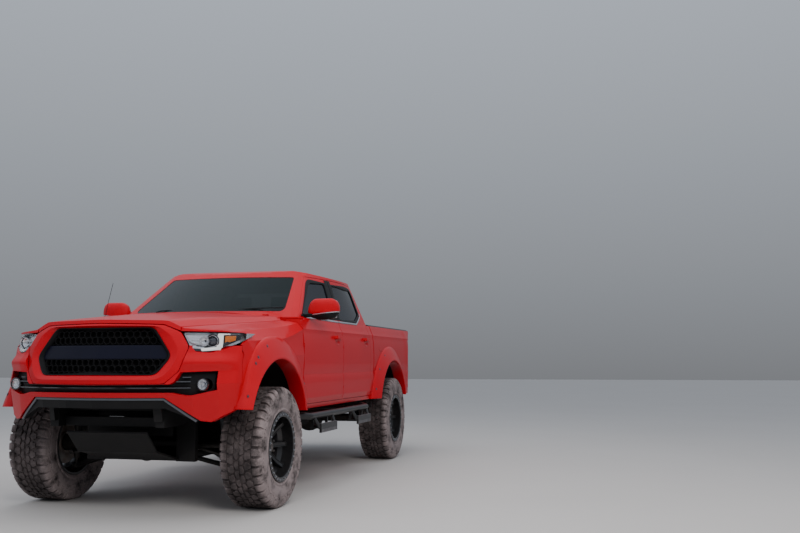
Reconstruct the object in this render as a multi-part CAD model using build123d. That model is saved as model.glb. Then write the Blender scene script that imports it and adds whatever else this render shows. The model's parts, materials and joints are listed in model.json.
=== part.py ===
"""Lifted double-cab pickup on all-terrain tyres, as separate steel, glass, plastic and rubber pieces.

Every station y is measured rearwards from the front axle, x to the vehicle's left and z up from the
ground, all in millimetres. Each piece is written with the middle of the overall length at y = 0.
"""
from build123d import *
import os
from math import cos, radians, sin, sqrt

# Overall sizes
WHEELBASE = 3236.0
FRONT_OVERHANG = 915.0
REAR_OVERHANG = 1241.0
ROOF_HEIGHT = 1868.0
BODY_HALF_WIDTH = 903.0
MIDDLE = (WHEELBASE + REAR_OVERHANG - FRONT_OVERHANG) / 2

# Wheels and tyres
TYRE_RADIUS = 425.0
TYRE_WIDTH = 314.0
WHEEL_PLANE = 828.0
LUG_DEPTH = 15.0
LUG_COUNT = 30
BEAD_RADIUS = 233.0
RIM_WALL = 9.0
SPOKE_COUNT = 8
STUD_COUNT = 6
HUB_BORE = 36.0
STUB_RADIUS = HUB_BORE - 0.3
STUD_CIRCLE = 139.7
SEAT_GAP = 0.3

# Body heights and stations
SILL_BOTTOM = 655.0
DOOR_BOTTOM = 690.0
CREASE_HEIGHT = 925.0
BELT_HEIGHT = 1385.0
RAIL_TOP = 1385.3
HOOD_REAR = 545.0
DOOR_FRONT = 628.0
DOOR_SPLIT = 1640.0
DOOR_REAR = 2540.0
CAB_REAR = 2630.0
BED_FRONT = 2652.0
TAILGATE_FACE = 4340.0
SHUT_GAP = 8.0
HINGE_GAP = 10.0
DOOR_DEPTH = 105.0
FRAME_DEPTH = 38.0
FRAME_GAP = 12.0
PANEL = 28.0
SHUT_SLANT = 0.21

# Wheel arches and flares
ARCH_RADIUS = 537.0
ARCH_HEIGHT = 511.0
REAR_ARCH_HEIGHT = 497.0
FLARE_EDGE = 967.0
FLARE_WALL = 8.0

# Glass
GLASS = 5.0

# Chassis
RAIL_X = 395.0
RAIL_WIDTH = 64.0
RAIL_LOW = 470.0
RAIL_DEEP = 120.0
KINGPIN_X = 690.0
LOWER_BALL = 285.0
UPPER_BALL = 575.0
AXLE_RADIUS = 42.0
RECEIVER_SIDE = 50.8
RECEIVER_WALL = 6.4


def block(x0, x1, y0, y1, z0, z1):
    """Rectangular block between two corners."""
    return Pos((x0 + x1) / 2, (y0 + y1) / 2, (z0 + z1) / 2) * Box(abs(x1 - x0), abs(y1 - y0), abs(z1 - z0))


def prism_x(outline, x0, x1, slant=0.0, radius=0.0):
    """Prism of a (y, z) outline from x0 to x1, moved rearwards by slant for each unit of x."""
    points = [(x0, y + slant * x0, z) for y, z in outline]
    line = FilletPolyline(*points, radius=radius, close=True) if radius else Polyline(*points, close=True)
    span = x1 - x0
    return extrude(make_face(line), amount=span * sqrt(1 + slant ** 2), dir=(1, slant, 0))


def prism_y(outline, y0, y1, radius=0.0):
    """Prism of an (x, z) outline from y0 to y1."""
    points = [(x, y0, z) for x, z in outline]
    line = FilletPolyline(*points, radius=radius, close=True) if radius else Polyline(*points, close=True)
    return extrude(make_face(line), amount=y1 - y0, dir=(0, 1, 0))


def prism_z(outline, z0, z1, radius=0.0, lean=0.0):
    """Prism of an (x, y) outline from z0 to z1, leaning rearwards by lean for each unit of z."""
    points = [(x, y, z0) for x, y in outline]
    line = FilletPolyline(*points, radius=radius, close=True) if radius else Polyline(*points, close=True)
    return extrude(make_face(line), amount=(z1 - z0) * sqrt(1 + lean ** 2), dir=(0, lean, 1))


def both(outline):
    """Right half of an outline, from centre to centre, and its mirror image as one closed outline."""
    return list(outline) + [(-x, other) for x, other in reversed(outline) if x > 0]


def rod(start, end, radius):
    """Round bar between two points."""
    start, end = Vector(*start), Vector(*end)
    way = end - start
    return extrude(Plane(origin=start, z_dir=way) * Circle(radius), amount=way.length)


def bent_tube(points, radius, bend):
    """Round tube through points, with each corner bent to the same radius."""
    path = FilletPolyline(*points, radius=bend)
    start = Plane(origin=path @ 0, z_dir=path % 0)
    return sweep(start * Circle(radius), path=path)


def ring(outer, inner, x0, x1, y=0.0, z=0.0):
    """Round ring or disc about an axis that runs across the vehicle."""
    turn = Pos(x0, y, z) * Rot(0, 90, 0)
    face = Circle(outer) - Circle(inner) if inner else Circle(outer)
    return extrude(turn * face, amount=x1 - x0, dir=(1, 0, 0))


def mirrored(shape):
    """The same shape on the other side of the vehicle."""
    return mirror(shape, about=Plane.YZ)


def pair(shape):
    """A shape and its mirror image, as a list of solids."""
    return list(shape.solids()) + list(mirrored(shape).solids())


NODES = {}


def keep(name, *shapes):
    """Put solids in a named node."""
    solids = []
    for shape in shapes:
        solids += shape if isinstance(shape, list) else list(shape.solids())
    NODES[name] = solids


# Outer forms of the body

def side_section(depth=0.0):
    """Half cross-section (x, z) of the body's side from sill to belt, moved inwards by depth."""
    half = BODY_HALF_WIDTH - depth
    return [
        (half - 22, SILL_BOTTOM), (half - 5, SILL_BOTTOM + 85), (half, CREASE_HEIGHT - 65),
        (half - 10, CREASE_HEIGHT), (half - 2, CREASE_HEIGHT + 75), (half, CREASE_HEIGHT + 155),
        (half - 17, BELT_HEIGHT - 95), (half - 55, BELT_HEIGHT),
    ]


# Greenhouse outlines in plan at the belt and at a height above the roof
BELT_CABIN = dict(front=516.0, pillar=(757.0, 690.0), shoulder=(806.0, 745.0), middle=(848.0, 1640.0),
                  back=(836.0, 2580.0), corner=(780.0, 2616.0), rear=2626.0)
TOP_CABIN = dict(front=1309.0, pillar=(565.0, 1400.0), shoulder=(620.0, 1440.0), middle=(690.0, 1700.0),
                 back=(655.0, 2415.0), corner=(590.0, 2465.0), rear=2480.0)
CABIN_HIGH = 1880.0
ROOF_ACROSS = 3600.0
ROOF_ALONG = 2900.0
ROOF_PEAK_Y = 1800.0


def cabin_wire(plan, z, inset):
    """Closed outline of the greenhouse at one height, moved inwards by inset."""
    px, py = plan["pillar"]
    sx, sy = plan["shoulder"]
    mx, my = plan["middle"]
    bx, by = plan["back"]
    cx, cy = plan["corner"]
    px, sx, mx, bx, cx = px - inset, sx - inset, mx - inset, bx - inset, cx - inset
    front, rear = plan["front"] + inset, plan["rear"] - inset
    py, sy, by, cy = py + inset, sy + inset, by - inset, cy - inset
    return make_face([
        ThreePointArc((-px, py, z), (0, front, z), (px, py, z)),
        Line((px, py, z), (sx, sy, z)),
        ThreePointArc((sx, sy, z), (mx, my, z), (bx, by, z)),
        Line((bx, by, z), (cx, cy, z)),
        ThreePointArc((cx, cy, z), (0, rear, z), (-cx, cy, z)),
        Line((-cx, cy, z), (-bx, by, z)),
        ThreePointArc((-bx, by, z), (-mx, my, z), (-sx, sy, z)),
        Line((-sx, sy, z), (-px, py, z)),
    ])


def crowned(radius, half, top, base, flat):
    """Face bounded by a crown arc above and a level base, drawn by flat(across, height)."""
    low = top - half ** 2 / 2 / radius
    return make_face([
        ThreePointArc(flat(-half, low), flat(0, top), flat(half, low)),
        Polyline(flat(half, low), flat(half, base), flat(-half, base), flat(-half, low)),
    ])


def cabin(inset, roof=None):
    """Greenhouse solid above the belt, under a roof that is crowned both ways."""
    body = loft([cabin_wire(BELT_CABIN, BELT_HEIGHT, inset), cabin_wire(TOP_CABIN, CABIN_HIGH, inset)],
                ruled=True)
    top = ROOF_HEIGHT - (inset if roof is None else roof)
    base = BELT_HEIGHT - 50
    across = crowned(ROOF_ACROSS, 950, top, base, lambda s, h: (s, 400, h))
    along = crowned(ROOF_ALONG, 1400, top, base, lambda s, h: (-950, ROOF_PEAK_Y + s, h))
    return body & extrude(across, amount=2600, dir=(0, 1, 0)) & extrude(along, amount=1900, dir=(1, 0, 0))


# Doors and windows, as (y, z) outlines on the outer skin
SKIN_LEAN = 0.32
FRAME_SLOPE = 0.711
FRAME_FOOT_Y = 775.0
FRAME_FOOT_Z = 1405.0
FRAME_TOP = 1772.0
SILL_FOOT_Z = 1372.0
ROOF_EDGE = 645.0
FRONT_WINDOW = [(836.0, 1412.0), (1536.0, 1404.0), (1568.0, 1730.0), (1290.0, 1730.0), (1230.0, 1698.0)]
REAR_WINDOW = [(1690.0, 1404.0), (2190.0, 1404.0), (2400.0, 1486.0), (2362.0, 1690.0), (2318.0, 1728.0),
               (1702.0, 1728.0)]
WINDOW_CORNER = 22.0
SEAL_GAP = 0.3


def slanted(y, z):
    """Point of a slanted shut line at the centre plane that lies at y on the outer skin."""
    skin = BODY_HALF_WIDTH if z < BELT_HEIGHT else BODY_HALF_WIDTH - 55 - SKIN_LEAN * (z - BELT_HEIGHT)
    return (y - SHUT_SLANT * skin, z)


def front_door_outline(gap):
    """Shut line of the front door, shrunk by gap."""
    low, top = DOOR_BOTTOM + gap, FRAME_TOP - gap
    front, rear = DOOR_FRONT + gap, DOOR_SPLIT - gap
    foot = FRAME_FOOT_Y + 1.5 * gap
    top_y = foot + (top - FRAME_FOOT_Z) / FRAME_SLOPE
    return [slanted(front, low), slanted(rear, low), slanted(rear, BELT_HEIGHT - 1), slanted(rear, top),
            slanted(top_y, top), slanted(foot, FRAME_FOOT_Z - gap / 2), slanted(foot - 40, SILL_FOOT_Z - gap),
            slanted(front, SILL_FOOT_Z - gap)]


def rear_door_outline(gap):
    """Shut line of the rear door, shrunk by gap."""
    low, top = DOOR_BOTTOM + gap, FRAME_TOP - gap
    front, rear = DOOR_SPLIT + HINGE_GAP - SHUT_GAP + gap, DOOR_REAR - gap
    return [slanted(front, low), slanted(rear, low), slanted(rear - 20, BELT_HEIGHT - 1),
            slanted(rear - 45, 1500.0), slanted(rear - 100, 1700.0), slanted(rear - 165, top),
            slanted(front, top), slanted(front, BELT_HEIGHT - 1)]


def window_cut(outline, x0, x1, by=0.0):
    """Cutter for a side window with rounded corners, made larger by a distance."""
    face = make_face(FilletPolyline(*outline, radius=WINDOW_CORNER, close=True))
    if by:
        face = offset(face, amount=by)
    return extrude(Plane(origin=(x0, 0, 0), x_dir=(0, 1, 0), z_dir=(1, 0, 0)) * face, amount=x1 - x0,
                   dir=(1, 0, 0))


def lower_half(y0, y1, depth):
    """Body between its sides from sill to belt, with both sides moved inwards by depth."""
    outline = [(0, SILL_BOTTOM)] + side_section(depth) + [(0, BELT_HEIGHT)]
    return prism_y(both(outline), y0, y1)


def side_wall(outline, gap, lower_depth, upper_depth):
    """Left wall of the cab inside a shut line: a thick lower part with a slim frame above."""
    inside = prism_x(outline(gap), 450, 1000, SHUT_SLANT)
    lower = (lower_half(400, 2800, 0) - lower_half(400, 2800, lower_depth)) & inside
    upper = (cabin(0) - cabin(upper_depth)) & inside & block(ROOF_EDGE, 1000, 600, 2700, BELT_HEIGHT,
                                                             FRAME_TOP)
    return lower, upper


# Cab
FIREWALL_Y = 562.0
WALL = 38.0
PILLAR_DEPTH = 165.0
PILLAR_FRAME = 80.0
OPENING_BORDER = 58.0
FLOOR_TOP = 702.0
TUNNEL_HALF = 190.0
TUNNEL_REAR = 1540.0
TUNNEL_TOP = 900.0
TUNNEL_WALL = 20.0
COWL_REAR = 655.0
COWL_LOW = 1320.0
COWL_HALF = 700.0
HOOD_AXIS_Y = 560.0
HOOD_AXIS_Z = 1400.0
HOOD_SWEEP = 46.0
SCREEN = [(0, 1438.0), (682.0, 1438.0), (580.0, 1764.0), (0, 1776.0)]
REAR_SCREEN = [(0, 1446.0), (610.0, 1446.0), (548.0, 1728.0), (0, 1738.0)]


def screen_cut(outline, y0, y1, by=0.0):
    """Cutter for the windscreen or the rear window, as seen from the front."""
    face = make_face(FilletPolyline(*screen_points(outline), radius=30, close=True))
    if by:
        face = offset(face, amount=by)
    return extrude(Plane(origin=(0, y0, 0), x_dir=(1, 0, 0), z_dir=(0, -1, 0)) * face, amount=y1 - y0,
                   dir=(0, 1, 0))


def screen_points(outline):
    """Four corners of a screen outline and its mirror image."""
    (_, low), (foot, _), (head, top), _ = outline
    return [(-foot, low), (foot, low), (head, top), (-head, top)]


def make_cab():
    """Cab body: floor, firewall, pillars, roof and back wall, hollow and with its openings cut."""
    outer = lower_half(FIREWALL_Y, CAB_REAR, 0) + cabin(0)
    outer -= block(-1000, 1000, FIREWALL_Y - 60, FIREWALL_Y, 600, 1900)
    cavity = lower_half(FIREWALL_Y + WALL, CAB_REAR - WALL, PILLAR_DEPTH) & block(
        -1000, 1000, 0, 3000, FLOOR_TOP, BELT_HEIGHT)
    cavity += cabin(PILLAR_FRAME, PANEL)
    cavity -= block(-1000, 1000, 0, COWL_REAR, COWL_LOW, BELT_HEIGHT)
    cavity -= block(-TUNNEL_HALF - TUNNEL_WALL, TUNNEL_HALF + TUNNEL_WALL, 500, TUNNEL_REAR + TUNNEL_WALL,
                    600, TUNNEL_TOP + TUNNEL_WALL)
    shell = outer - cavity - block(-TUNNEL_HALF, TUNNEL_HALF, 500, TUNNEL_REAR, 600, TUNNEL_TOP)
    for side in (-1, 1):
        shell -= block(side * COWL_HALF, side * 1000, 500, DOOR_FRONT + 1, 600, 1500)
    shell -= Pos(0, HOOD_AXIS_Y, HOOD_AXIS_Z) * Rot(0, 90, 0) * Cylinder(HOOD_SWEEP, 2 * COWL_HALF)
    for outline in (front_door_outline, rear_door_outline):
        lower, upper = side_wall(outline, 0.0, DOOR_DEPTH + SHUT_GAP, FRAME_DEPTH + FRAME_GAP)
        hole = prism_x(outline(OPENING_BORDER), 450, 1000, SHUT_SLANT)
        for cutter in (lower, upper, hole):
            shell -= cutter
            shell -= mirrored(cutter)
    shell -= screen_cut(SCREEN, 300, 1330)
    shell -= screen_cut(REAR_SCREEN, 2250, 2800)
    return shell


def make_cab_glass():
    """Windscreen and rear window, set flush in their openings."""
    pane = cabin(3) - cabin(3 + GLASS)
    front = pane & screen_cut(SCREEN, 300, 1330, -SEAL_GAP)
    rear = pane & screen_cut(REAR_SCREEN, 2250, 2800, -SEAL_GAP)
    return front, rear


# Front clip: columns are station, centre height, then x and z of the ridge, shut line, shoulder and side
CLIP = [
    (-830.0, 1308.0, 430.0, 1294.0, 535.0, 1236.0, 780.0, 1216.0, 868.0, 1150.0),
    (-300.0, 1383.0, 560.0, 1345.0, 640.0, 1292.0, 820.0, 1256.0, 885.0, 1180.0),
    (250.0, 1418.0, 640.0, 1374.0, 700.0, 1330.0, 832.0, 1292.0, 890.0, 1200.0),
    (640.0, 1440.0, 690.0, 1396.0, 741.0, 1362.0, 846.0, 1346.0, 886.0, 1290.0),
]
HOOD_SKIN = 32.0
HOOD_PLAN = [(0.0, -812.0), (430.0, -800.0), (535.0, -720.0), (640.0, -300.0), (700.0, 250.0),
             (735.0, HOOD_REAR), (0.0, HOOD_REAR)]
CLIP_GAP = 6.0


def clip_section(row, depth):
    """Cross-section of the front clip at one station, moved inwards by depth."""
    y, centre, rx, rz, sx, sz, hx, hz, wx, wz = row
    right = [(rx, rz - depth), (sx, sz - depth), (hx - depth / 2, hz - depth), (wx - depth, wz)]
    right += [(BODY_HALF_WIDTH - depth, CREASE_HEIGHT + 155), (BODY_HALF_WIDTH - 8 - depth, CREASE_HEIGHT),
              (BODY_HALF_WIDTH - 4 - depth, SILL_BOTTOM + 100), (BODY_HALF_WIDTH - 22 - depth, SILL_BOTTOM)]
    right = [(0, centre - depth)] + right
    points = right + [(-x, z) for x, z in reversed(right) if x > 0]
    return make_face(Polyline(*[(x, y, z) for x, z in points], close=True))


def clip(depth):
    """Solid form of the nose, hood and fenders ahead of the cab."""
    return loft([clip_section(row, depth) for row in CLIP], ruled=True)


def hood_area(gap):
    """Vertical prism over the hood's outline, made larger by gap."""
    face = make_face(Polyline(*[(x, y, 1100) for x, y in both(HOOD_PLAN)], close=True))
    if gap:
        face = offset(face, amount=gap, kind=Kind.INTERSECTION)
    return extrude(face, amount=500, dir=(0, 0, 1))


NOSE_PLAN = [(0.0, -915.0), (220.0, -898.0), (430.0, -849.0), (640.0, -769.0), (780.0, -668.0),
             (866.0, -560.0),
             (BODY_HALF_WIDTH, -400.0), (BODY_HALF_WIDTH, 100.0), (0.0, 100.0)]
NOSE_LEAN = 0.26
NOSE_UNDERCUT = -0.22
NOSE_HEIGHT = 890.0


def nose(inset):
    """Solid of the nose: its plan leans back above the bumper's edge and tucks under below it."""
    plan = [(max(x - inset, 0.0) if x else 0.0, y + inset if y < -300 else y) for x, y in NOSE_PLAN]
    outline = both(plan)
    upper = prism_z([(x, y - 300 * NOSE_LEAN) for x, y in outline], NOSE_HEIGHT - 300, NOSE_HEIGHT + 500,
                    lean=NOSE_LEAN)
    lower = prism_z([(x, y - 300 * NOSE_UNDERCUT) for x, y in outline], NOSE_HEIGHT - 300, NOSE_HEIGHT + 500,
                    lean=NOSE_UNDERCUT)
    return upper & lower & block(-1000, 1000, -1000, -250, 600, 1400)


NOSE_WALL = 34.0
GRILLE_TOP = 1257.0
GRILLE_LOW = 944.0
GRILLE = [(0.0, GRILLE_TOP), (372.0, GRILLE_TOP), (506.0, 1068.0), (424.0, GRILLE_LOW), (0.0, GRILLE_LOW)]
SURROUND = [(0.0, 1284.0), (432.0, 1274.0), (545.0, 1226.0), (604.0, 1130.0), (562.0, 968.0), (486.0, 888.0),
            (0.0, 886.0)]
SLOT = [(0.0, 832.0), (520.0, 832.0), (600.0, 815.0), (642.0, 815.0), (776.0, 848.0), (776.0, 971.0),
        (572.0, 963.0), (545.0, 905.0), (520.0, 886.0), (0.0, 882.0)]
BUMPER = [(0.0, 800.0), (480.0, 800.0), (680.0, 648.0), (735.0, 640.0), (940.0, 769.0), (940.0, 1137.0),
          (0.0, 1137.0)]
LAMP = [(553.0, 1226.0), (608.0, 1133.0), (640.0, 1098.0), (740.0, 1090.0), (822.0, 1104.0), (880.0, 1142.0),
        (940.0, 1160.0), (940.0, 1224.0)]
PART_GAP = 4.0


def front_view(outline, y0=-1000.0, y1=-250.0, by=0.0):
    """Cutter along the vehicle for a symmetric outline seen from the front."""
    face = make_face(Polyline(*[(x, z) for x, z in both(outline)], close=True))
    if by:
        face = offset(face, amount=by, kind=Kind.INTERSECTION)
    return extrude(Plane(origin=(0, y0, 0), x_dir=(1, 0, 0), z_dir=(0, -1, 0)) * face, amount=y1 - y0,
                   dir=(0, 1, 0))


def lamp_view(by=0.0):
    """Cutter for the left headlamp, with its tail swept up along the fender."""
    face = make_face(Polyline(*LAMP, close=True))
    if by:
        face = offset(face, amount=by, kind=Kind.INTERSECTION)
    front = extrude(Plane(origin=(0, -1000, 0), x_dir=(1, 0, 0), z_dir=(0, -1, 0)) * face, amount=750,
                    dir=(0, 1, 0))
    tail = prism_x([(-1000, 1060 - by), (-690, 1075 - by), (-372 + by, 1200 - by), (-372 + by, 1300),
                    (-1000, 1300)],
                   450, 1000)
    return front & tail


BUMPER_REAR = -560.0


def arch_cut(y, z, radius):
    """Cutter for a wheel arch on both sides."""
    return Pos(0, y, z) * Rot(0, 90, 0) * Cylinder(radius, 2400)


def make_front_bumper():
    """Body-colour bumper cover with its slot and lamp openings."""
    cover = (nose(0) - nose(NOSE_WALL)) & front_view(BUMPER)
    cover -= front_view(SURROUND, by=SEAT_GAP)
    cover -= front_view(SLOT)
    lamps = lamp_view(SEAT_GAP)
    cover -= lamps
    cover -= mirrored(lamps)
    cover -= arch_cut(0, ARCH_HEIGHT, ARCH_RADIUS + 12)
    return cover & block(-1000, 1000, -1000, BUMPER_REAR + 70, 600, 1140)


def make_surround():
    """Thick hexagonal frame around the grille."""
    frame = (nose(0) - nose(NOSE_WALL + 30)) & front_view(SURROUND)
    return frame - front_view(GRILLE)


MESH_PITCH = 46.0
MESH_BAR = 7.0
MESH_DEPTH = 14.0
MESH_RECESS = 48.0
BAND_LOW = 1049.0
BAND_HIGH = 1140.0


def make_grille():
    """Hexagonal mesh above and below a plain band, set back in its frame."""
    slab = (nose(MESH_RECESS) - nose(MESH_RECESS + MESH_DEPTH)) & front_view(GRILLE, by=-SEAL_GAP)
    holes = []
    for low, high in ((GRILLE_LOW, BAND_LOW), (BAND_HIGH, GRILLE_TOP)):
        for row in range(2):
            z = low + (high - low) * (2 * row + 1) / 4
            limit = 372 + (GRILLE_TOP - z) * 0.7 if z > 1068 else 506 - (1068 - z) * 0.66
            for column in range(-11, 12):
                x = (column + row / 2) * MESH_PITCH
                if abs(x) < limit - MESH_PITCH * 0.62:
                    holes.append((x, z))
    hexagon = RegularPolygon((MESH_PITCH - MESH_BAR) / sqrt(3), 6, rotation=30)
    cutters = [extrude(Plane(origin=(x, -1000, z), x_dir=(1, 0, 0), z_dir=(0, -1, 0)) * hexagon, amount=-750)
               for x, z in holes]
    return slab - cutters


# Running gear
def rail_path():
    """Side outline (y, z) of one chassis rail, with kicks over both axles."""
    low, deep = RAIL_LOW, RAIL_DEEP
    line = [(-700.0, 130.0), (-420.0, 130.0), (-330.0, 170.0), (330.0, 170.0), (500.0, 60.0), (2625.0, 60.0),
            (2840.0, 210.0), (3700.0, 210.0), (3900.0, 150.0), (4433.5, 150.0)]
    top = [(y, low + rise + deep) for y, rise in line]
    return [(y, low + rise) for y, rise in line] + list(reversed(top))


CROSSMEMBERS = [(-620.0, 600.0, 60.0), (-250.0, 640.0, 55.0), (700.0, 575.0, 55.0), (1330.0, 530.0, 31.7),
                (2300.0, 585.0, 60.0), (2850.0, 680.0, 60.0), (3700.0, 680.0, 60.0), (4340.0, 620.0, 60.0)]
BODY_MOUNTS = [(820.0, 640.0, 654.7), (1600.0, 640.0, 654.7), (2480.0, 640.0, 654.7), (2920.0, 790.0, 864.7),
               (3600.0, 790.0, 864.7), (4140.0, 730.0, 864.7)]
RECEIVER_LENGTH = 220.0
RECEIVER_Z = 560.0


def make_frame():
    """Ladder frame with its crossmembers, front drop bracket and the receiver tube of the hitch."""
    rail = prism_x(rail_path(), RAIL_X - RAIL_WIDTH / 2, RAIL_X + RAIL_WIDTH / 2)
    shape = rail + mirrored(rail)
    for y, z, tall in CROSSMEMBERS:
        shape += block(-RAIL_X, RAIL_X, y, y + 70, z, z + tall)
    for y, low, high in BODY_MOUNTS:
        for x in (-RAIL_X, RAIL_X):
            shape += Pos(x, y, (low + high) / 2) * Cylinder(28, high - low)
    horn = block(370, 420, -830, -690, 640, 828) & nose(60 + SEAT_GAP)
    horn += block(370, 420, -830, -720, 802, 828) & nose(NOSE_WALL + SEAT_GAP)
    shape += horn + mirrored(horn)
    end = WHEELBASE + REAR_OVERHANG - 12
    shape += block(-40, 40, end - 140, end - 60, RECEIVER_Z, 640)
    outer = RECEIVER_SIDE / 2 + RECEIVER_WALL
    tube = block(-outer, outer, end - RECEIVER_LENGTH, end, RECEIVER_Z - outer, RECEIVER_Z + outer)
    half = RECEIVER_SIDE / 2
    shape += tube
    shape -= block(-half, half, end - RECEIVER_LENGTH + 10, end + 10, RECEIVER_Z - half, RECEIVER_Z + half)
    shape -= Pos(0, end - 45, RECEIVER_Z) * Rot(0, 90, 0) * Cylinder(8.0, 200)
    return shape


def make_tyre():
    """Tyre with a round-shouldered carcass and two staggered rows of shoulder lugs."""
    half = TYRE_WIDTH / 2
    inner = BEAD_RADIUS + SEAT_GAP
    carcass_radius = TYRE_RADIUS - LUG_DEPTH
    section = Polyline((-half + 42, inner, 0), (-half + 14, inner + 22, 0), (-half, 335, 0),
                       (-half + 6, 378, 0),
                       (-half + 26, carcass_radius, 0), (half - 26, carcass_radius, 0), (half - 6, 378, 0),
                       (half, 335, 0), (half - 14, inner + 22, 0), (half - 42, inner, 0),
                       (half - 42, inner + 12, 0), (half - 26, 335, 0), (half - 46, carcass_radius - 22, 0),
                       (-half + 46, carcass_radius - 22, 0), (-half + 26, 335, 0),
                       (-half + 42, inner + 12, 0),
                       close=True)
    tyre = revolve(make_face(section), axis=Axis.X)
    root = carcass_radius - 6
    for side, turn in ((-1, 0.0), (1, 0.5)):
        points = []
        for k in range(LUG_COUNT):
            for share, radius in ((0.0, root), (0.06, TYRE_RADIUS), (0.66, TYRE_RADIUS), (0.72, root)):
                angle = radians(360 * (k + turn + share) / LUG_COUNT)
                points.append((radius * cos(angle), radius * sin(angle)))
        gear = make_face(Polyline(*points, close=True)) - Circle(root - 12)
        start = 6 if side > 0 else -half + 12
        tyre += extrude(Pos(start, 0, 0) * Rot(0, 90, 0) * gear, amount=half - 18, dir=(1, 0, 0))
    return tyre


def make_rim():
    """Wheel: barrel with a ringed outer lip, deep-set hub disc and tapered spokes."""
    half = TYRE_WIDTH / 2
    seat = half - 42 - 1
    flange = BEAD_RADIUS + 14
    section = Polyline((-half + 26, BEAD_RADIUS + 12, 0), (-half + 26, BEAD_RADIUS, 0),
                       (-seat + 34, BEAD_RADIUS, 0),
                       (-seat + 60, 205, 0), (30, 205, 0), (52, BEAD_RADIUS, 0), (half - 16, BEAD_RADIUS, 0),
                       (half - 16, flange, 0), (half - 4, flange, 0), (half - 4, 214, 0), (half - 22, 210, 0),
                       (half - 34, 222, 0), (56, 218, 0), (34, 190, 0), (-seat + 56, 190, 0),
                       (-seat + 30, BEAD_RADIUS - RIM_WALL, 0), (-half + 20, BEAD_RADIUS - RIM_WALL, 0),
                       (-half + 20, BEAD_RADIUS + 12, 0), close=True)
    rim = revolve(make_face(section), axis=Axis.X)
    disc = ring(92, HUB_BORE, 8, 34)
    for k in range(SPOKE_COUNT):
        outer = Polyline((8, 0, 78), (34, 0, 78), (92, 0, 226), (66, 0, 226), close=True)
        spoke = extrude(make_face(outer), amount=20, both=True, dir=(0, 1, 0))
        disc += Rot(360 * k / SPOKE_COUNT, 0, 0) * spoke
    rim += disc
    for k in range(STUD_COUNT):
        angle = radians(360 * k / STUD_COUNT)
        rim -= Pos(20, STUD_CIRCLE / 2 * cos(angle), STUD_CIRCLE / 2 * sin(angle)) * Rot(0, 90,
                                                                                         0) * Cylinder(7.5,
                                                                                                       60)
    return rim


def make_hood():
    """Hood panel between its shut lines, with the pins it turns on at its rear corners."""
    skin = (clip(0) - Pos(0, 0, -HOOD_SKIN) * clip(0)) & hood_area(0)
    skin &= nose(0) + block(-1000, 1000, -260, HOOD_REAR, 1100, 1500)
    skin -= front_view(SURROUND, by=PART_GAP)
    lamps = lamp_view(2 * PART_GAP)
    skin -= lamps
    skin -= mirrored(lamps)
    for side in (-1, 1):
        skin += block(side * PIN_ARM, side * (PIN_ARM + 8), HOOD_REAR - 30, HOOD_AXIS_Y, HOOD_AXIS_Z - 22,
                      HOOD_AXIS_Z + 4)
        low, high = sorted((side * PIN_ARM, side * (PIN_ARM + 34)))
        skin += ring(HOOD_PIN, 0, low, high, HOOD_AXIS_Y, HOOD_AXIS_Z)
    return skin


PIN_ARM = 586.0
HOOD_PIN = 5.0
PIN_GAP = 0.3


def hood_brackets():
    """Eyes on the cowl that hold the hood's pins."""
    shapes = []
    for side in (-1, 1):
        near, far = side * (PIN_ARM + 12), side * (PIN_ARM + 28)
        low, high = min(near, far), max(near, far)
        eye = ring(HOOD_PIN + 6, 0, low, high, HOOD_AXIS_Y, HOOD_AXIS_Z)
        eye += block(low, high, HOOD_AXIS_Y - 6, HOOD_AXIS_Y + 14, HOOD_AXIS_Z - 60, HOOD_AXIS_Z)
        eye -= ring(HOOD_PIN + PIN_GAP, 0, low - 1, high + 1, HOOD_AXIS_Y, HOOD_AXIS_Z)
        shapes.append(eye)
    return shapes


FENDER_WALL = 26.0


def make_fenders():
    """Front fenders from the nose to the doors, cut for the wheels, lamps and bumper."""
    skin = clip(0) - clip(FENDER_WALL)
    skin &= nose(0) + block(-1000, 1000, -260, DOOR_FRONT - HINGE_GAP + SHUT_GAP / 2, 600, 1500)
    skin -= hood_area(CLIP_GAP)
    door = prism_x(front_door_outline(SHUT_GAP / 2 - HINGE_GAP), 450, 1000, SHUT_SLANT)
    skin -= door
    skin -= mirrored(door)
    skin -= block(-FENDER_INNER, FENDER_INNER, -1000, 1000, 600, 1500)
    skin -= block(-COWL_HALF - 60, COWL_HALF + 60, HOOD_REAR, 1000, 600, 1500)
    lamps = lamp_view(PART_GAP)
    skin -= lamps
    skin -= mirrored(lamps)
    skin -= front_view(BUMPER, -1000, BUMPER_REAR + 70 + PART_GAP, by=PART_GAP)
    skin -= front_view(SURROUND, -1000, -400, by=PART_GAP)
    skin -= block(-1000, 1000, -1000, -610, 600, 1180)
    skin -= arch_cut(0, ARCH_HEIGHT, ARCH_RADIUS + 8)
    skin -= block(-1000, 1000, -1000, 0, 600, ARCH_HEIGHT + 200)
    tab = block(COWL_HALF + SEAT_GAP, 800, FIREWALL_Y + SEAT_GAP, 594, 1296, 1322) & clip(0)
    skin += tab + mirrored(tab)
    return Compound(children=sorted(skin.solids(), key=lambda solid: -solid.volume)[:2])


FENDER_INNER = 480.0
FLARE_FOOT = 20.0


FLARE_STEP = 10
FLARE_FIRST = -20
ROOT_FRONT = [600.0, 597.0, 594.0, 591.0, 588.0, 592.0, 615.0, 660.0, 696.0] + [700.0] * 14
ROOT_REAR = [688.0] * 23


def arch_face(x, radii, by=0.0):
    """Face of an arch at one x, from radii at even angles over the wheel."""
    points = []
    for k, radius in enumerate(radii):
        angle = radians(FLARE_FIRST + k * FLARE_STEP)
        points.append((x, -(radius + by) * cos(angle), (radius + by) * sin(angle)))
    return make_face(Polyline(*points, close=True))


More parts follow.
